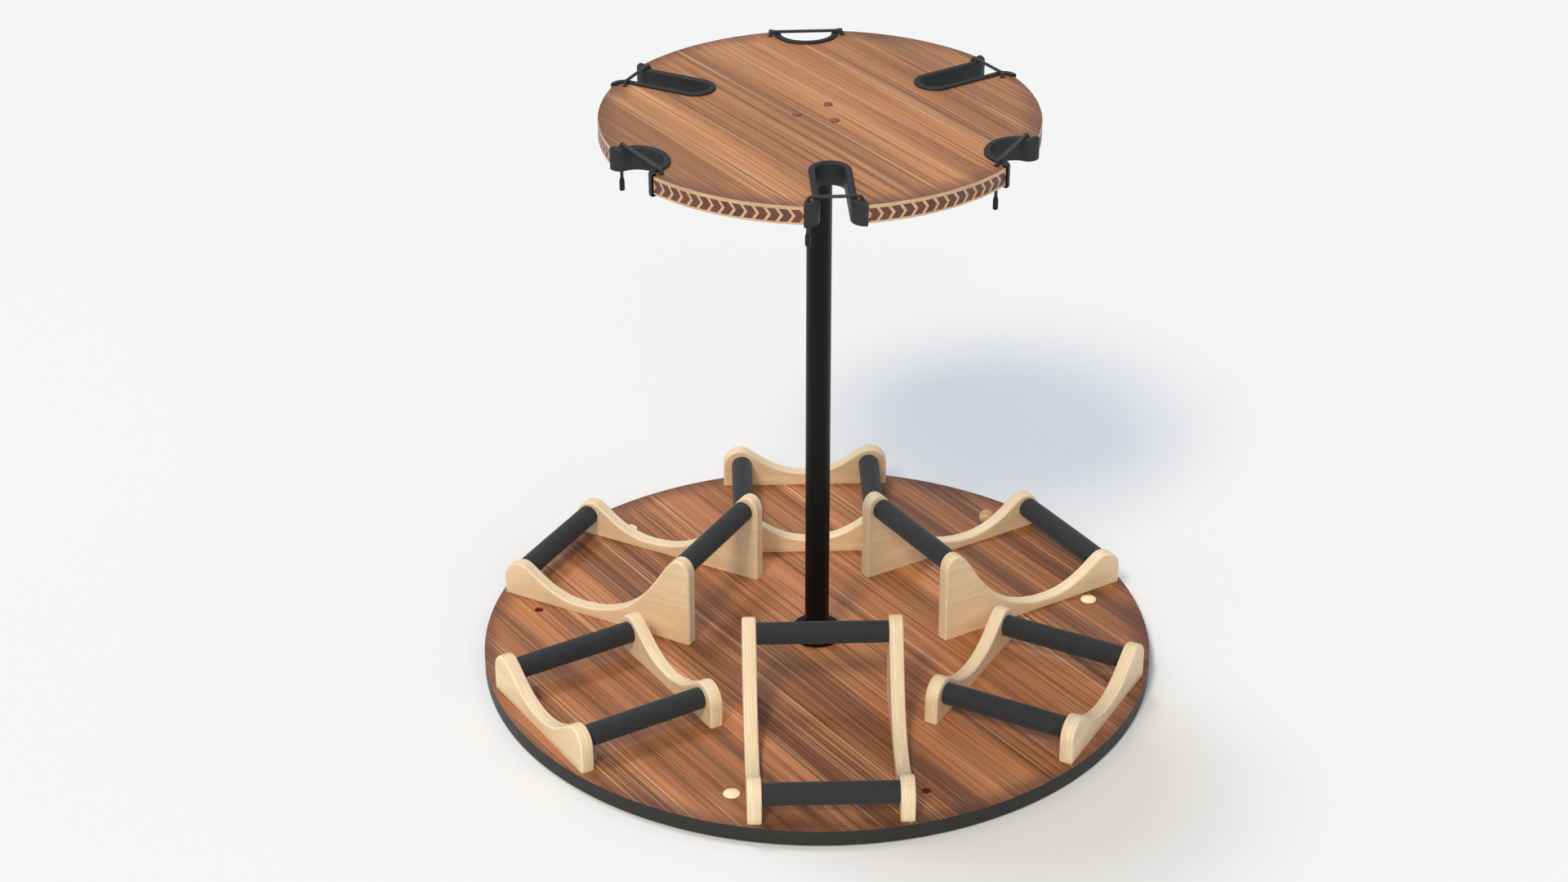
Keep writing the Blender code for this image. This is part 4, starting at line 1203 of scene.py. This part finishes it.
def corner_places(g):
    split = g.node("ShaderNodeSeparateXYZ", {}, [g.node("GeometryNodeInputPosition")[0]])
    return split[0], split[1], split[2]


def copied(g, piece, points):
    """A copy of piece on every point, as real geometry."""
    copies = g.node("GeometryNodeInstanceOnPoints", {}, {"Points": points, "Instance": piece})[0]
    return g.node("GeometryNodeRealizeInstances", {}, [copies])[0]


def chevron_row(g, size):
    """Chevrons laid along a straight line, spaced round the rim, then wrapped on to it."""
    index = g.node("GeometryNodeInputIndex")[0]
    arc = (index / size["Per stretch"]).maths("FLOOR")
    number = index - arc * size["Per stretch"]
    odd = arc.maths("MODULO", 2.0)
    first = size["First"] * (1.0 - odd) + size["Second"] * odd
    angle = size["Start"] + arc * (math.tau / 6) + first + (number + 0.5) * size["Pitch angle"]
    line = {"Count": size["Count"], "Offset": (0, 0, 0)}
    line = g.node("GeometryNodeMeshLine", {"mode": "OFFSET"}, line)[0]
    spread = placed(g, line, g.vector(angle * size["Radius"], 0.0, 0.0))
    random = g.node("FunctionNodeRandomValue", {"data_type": "FLOAT"}, {"Seed": TINT_SEED})
    value = Value(g, next(output for output in random.made.outputs if output.enabled))
    marked = g.node(
        "GeometryNodeStoreNamedAttribute",
        {"data_type": "FLOAT", "domain": "POINT"},
        {"Geometry": spread, "Name": "tint", "Value": value},
    )[0]
    block = {"Size": g.vector(size["Length"], size["Rise"], size["Depth"])}
    block.update({"Vertices X": 3, "Vertices Y": 5, "Vertices Z": 2})
    block = g.node("GeometryNodeMeshCube", {}, block)[0]
    x, y, z = corner_places(g)
    lean = size["Point"] * (0.5 - y.maths("ABSOLUTE") * 2.0 / size["Rise"])
    row = copied(g, placed(g, block, g.vector(x + lean, y, z)), marked)
    x, y, z = corner_places(g)
    turn = x / size["Radius"]
    out = size["Radius"] + z - size["Depth"] / 2.0 + size["Proud"]
    round_rim = g.vector(turn.maths("COSINE") * out, turn.maths("SINE") * out, y + size["Middle"])
    return placed(g, row, round_rim)


def chevrons():
    first, last, _ = next(iter(rim_arcs()))
    pitch = math.radians(last - first) / CHEVRONS_PER_STRETCH
    sizes = {
        "Count": len(PLACES) * CHEVRONS_PER_STRETCH,
        "Per stretch": float(CHEVRONS_PER_STRETCH),
        "Start": math.radians(PLACES[1] + TOP_TURN),
        "First": math.radians(mouth_angle("tall")),
        "Second": math.radians(mouth_angle("low")),
        "Pitch angle": pitch,
        "Radius": DISC_RADIUS,
        "Length": pitch * DISC_RADIUS - 0.0040,
        "Rise": 0.0165,
        "Point": 0.0058,
        "Depth": 0.0006,
        "Proud": 0.00006,
        "Middle": DISC_MIDDLE - 0.0007,
    }
    mesh = grown("chevron_inlay", chevron_row, sizes, FINISHES["rosewood"])
    if signed_volume(mesh) < 0:
        mesh.flip_normals()
    put("chevron_inlay", mesh, "top_wood", "turntable", finish="rosewood")


def ball_ring(g, size):
    ring = {"Vertices": size["Count"], "Radius": size["Radius"]}
    ring = g.node("GeometryNodeMeshCircle", {"fill_type": "NONE"}, ring)[0]
    ball = g.node("GeometryNodeMeshIcoSphere", {}, {"Radius": size["Ball"], "Subdivisions": 2})[0]
    return placed(g, copied(g, ball, ring), offset=g.vector(0.0, 0.0, size["Height"]))


def balls():
    ball = (RACE_HIGH.z - RACE_LOW.z) / 2
    sizes = {
        "Count": BALLS,
        "Radius": RACE_HIGH.x - ball,
        "Ball": ball,
        "Height": (RACE_HIGH.z + RACE_LOW.z) / 2,
    }
    mesh = grown("ball_race", ball_ring, sizes, FINISHES["bearing_steel"])
    mesh.shade_smooth()
    put("ball_race", mesh, "bearing_steel", "ball_race", "bearing_ball_race")
    for node in ("bearing_inner_ring", "bearing_outer_ring"):
        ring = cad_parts[node]
        ring.data.materials.clear()
        ring.data.materials.append(FINISHES["bearing_steel"])


def floor():
    mesh = bpy.data.meshes.new("floor")
    half = 14.0
    corners = [(-half, -half, 0), (half, -half, 0), (half, half, 0), (-half, half, 0)]
    mesh.from_pydata(corners, [], [(0, 1, 2, 3)])
    mesh.materials.append(floor_finish())
    ground = bpy.data.objects.new("floor", mesh)
    ground.location.z = -0.0005
    bpy.context.scene.collection.objects.link(ground)


for make in (camera, studio, floor, deck, sockets, plugs_and_knob, seat_caps, pole):
    make()
for make in (disc, liners, straps):
    make()
for place in PLACES:
    cradle_sides(place)
    cradle_bars(place)
chevrons()
balls()
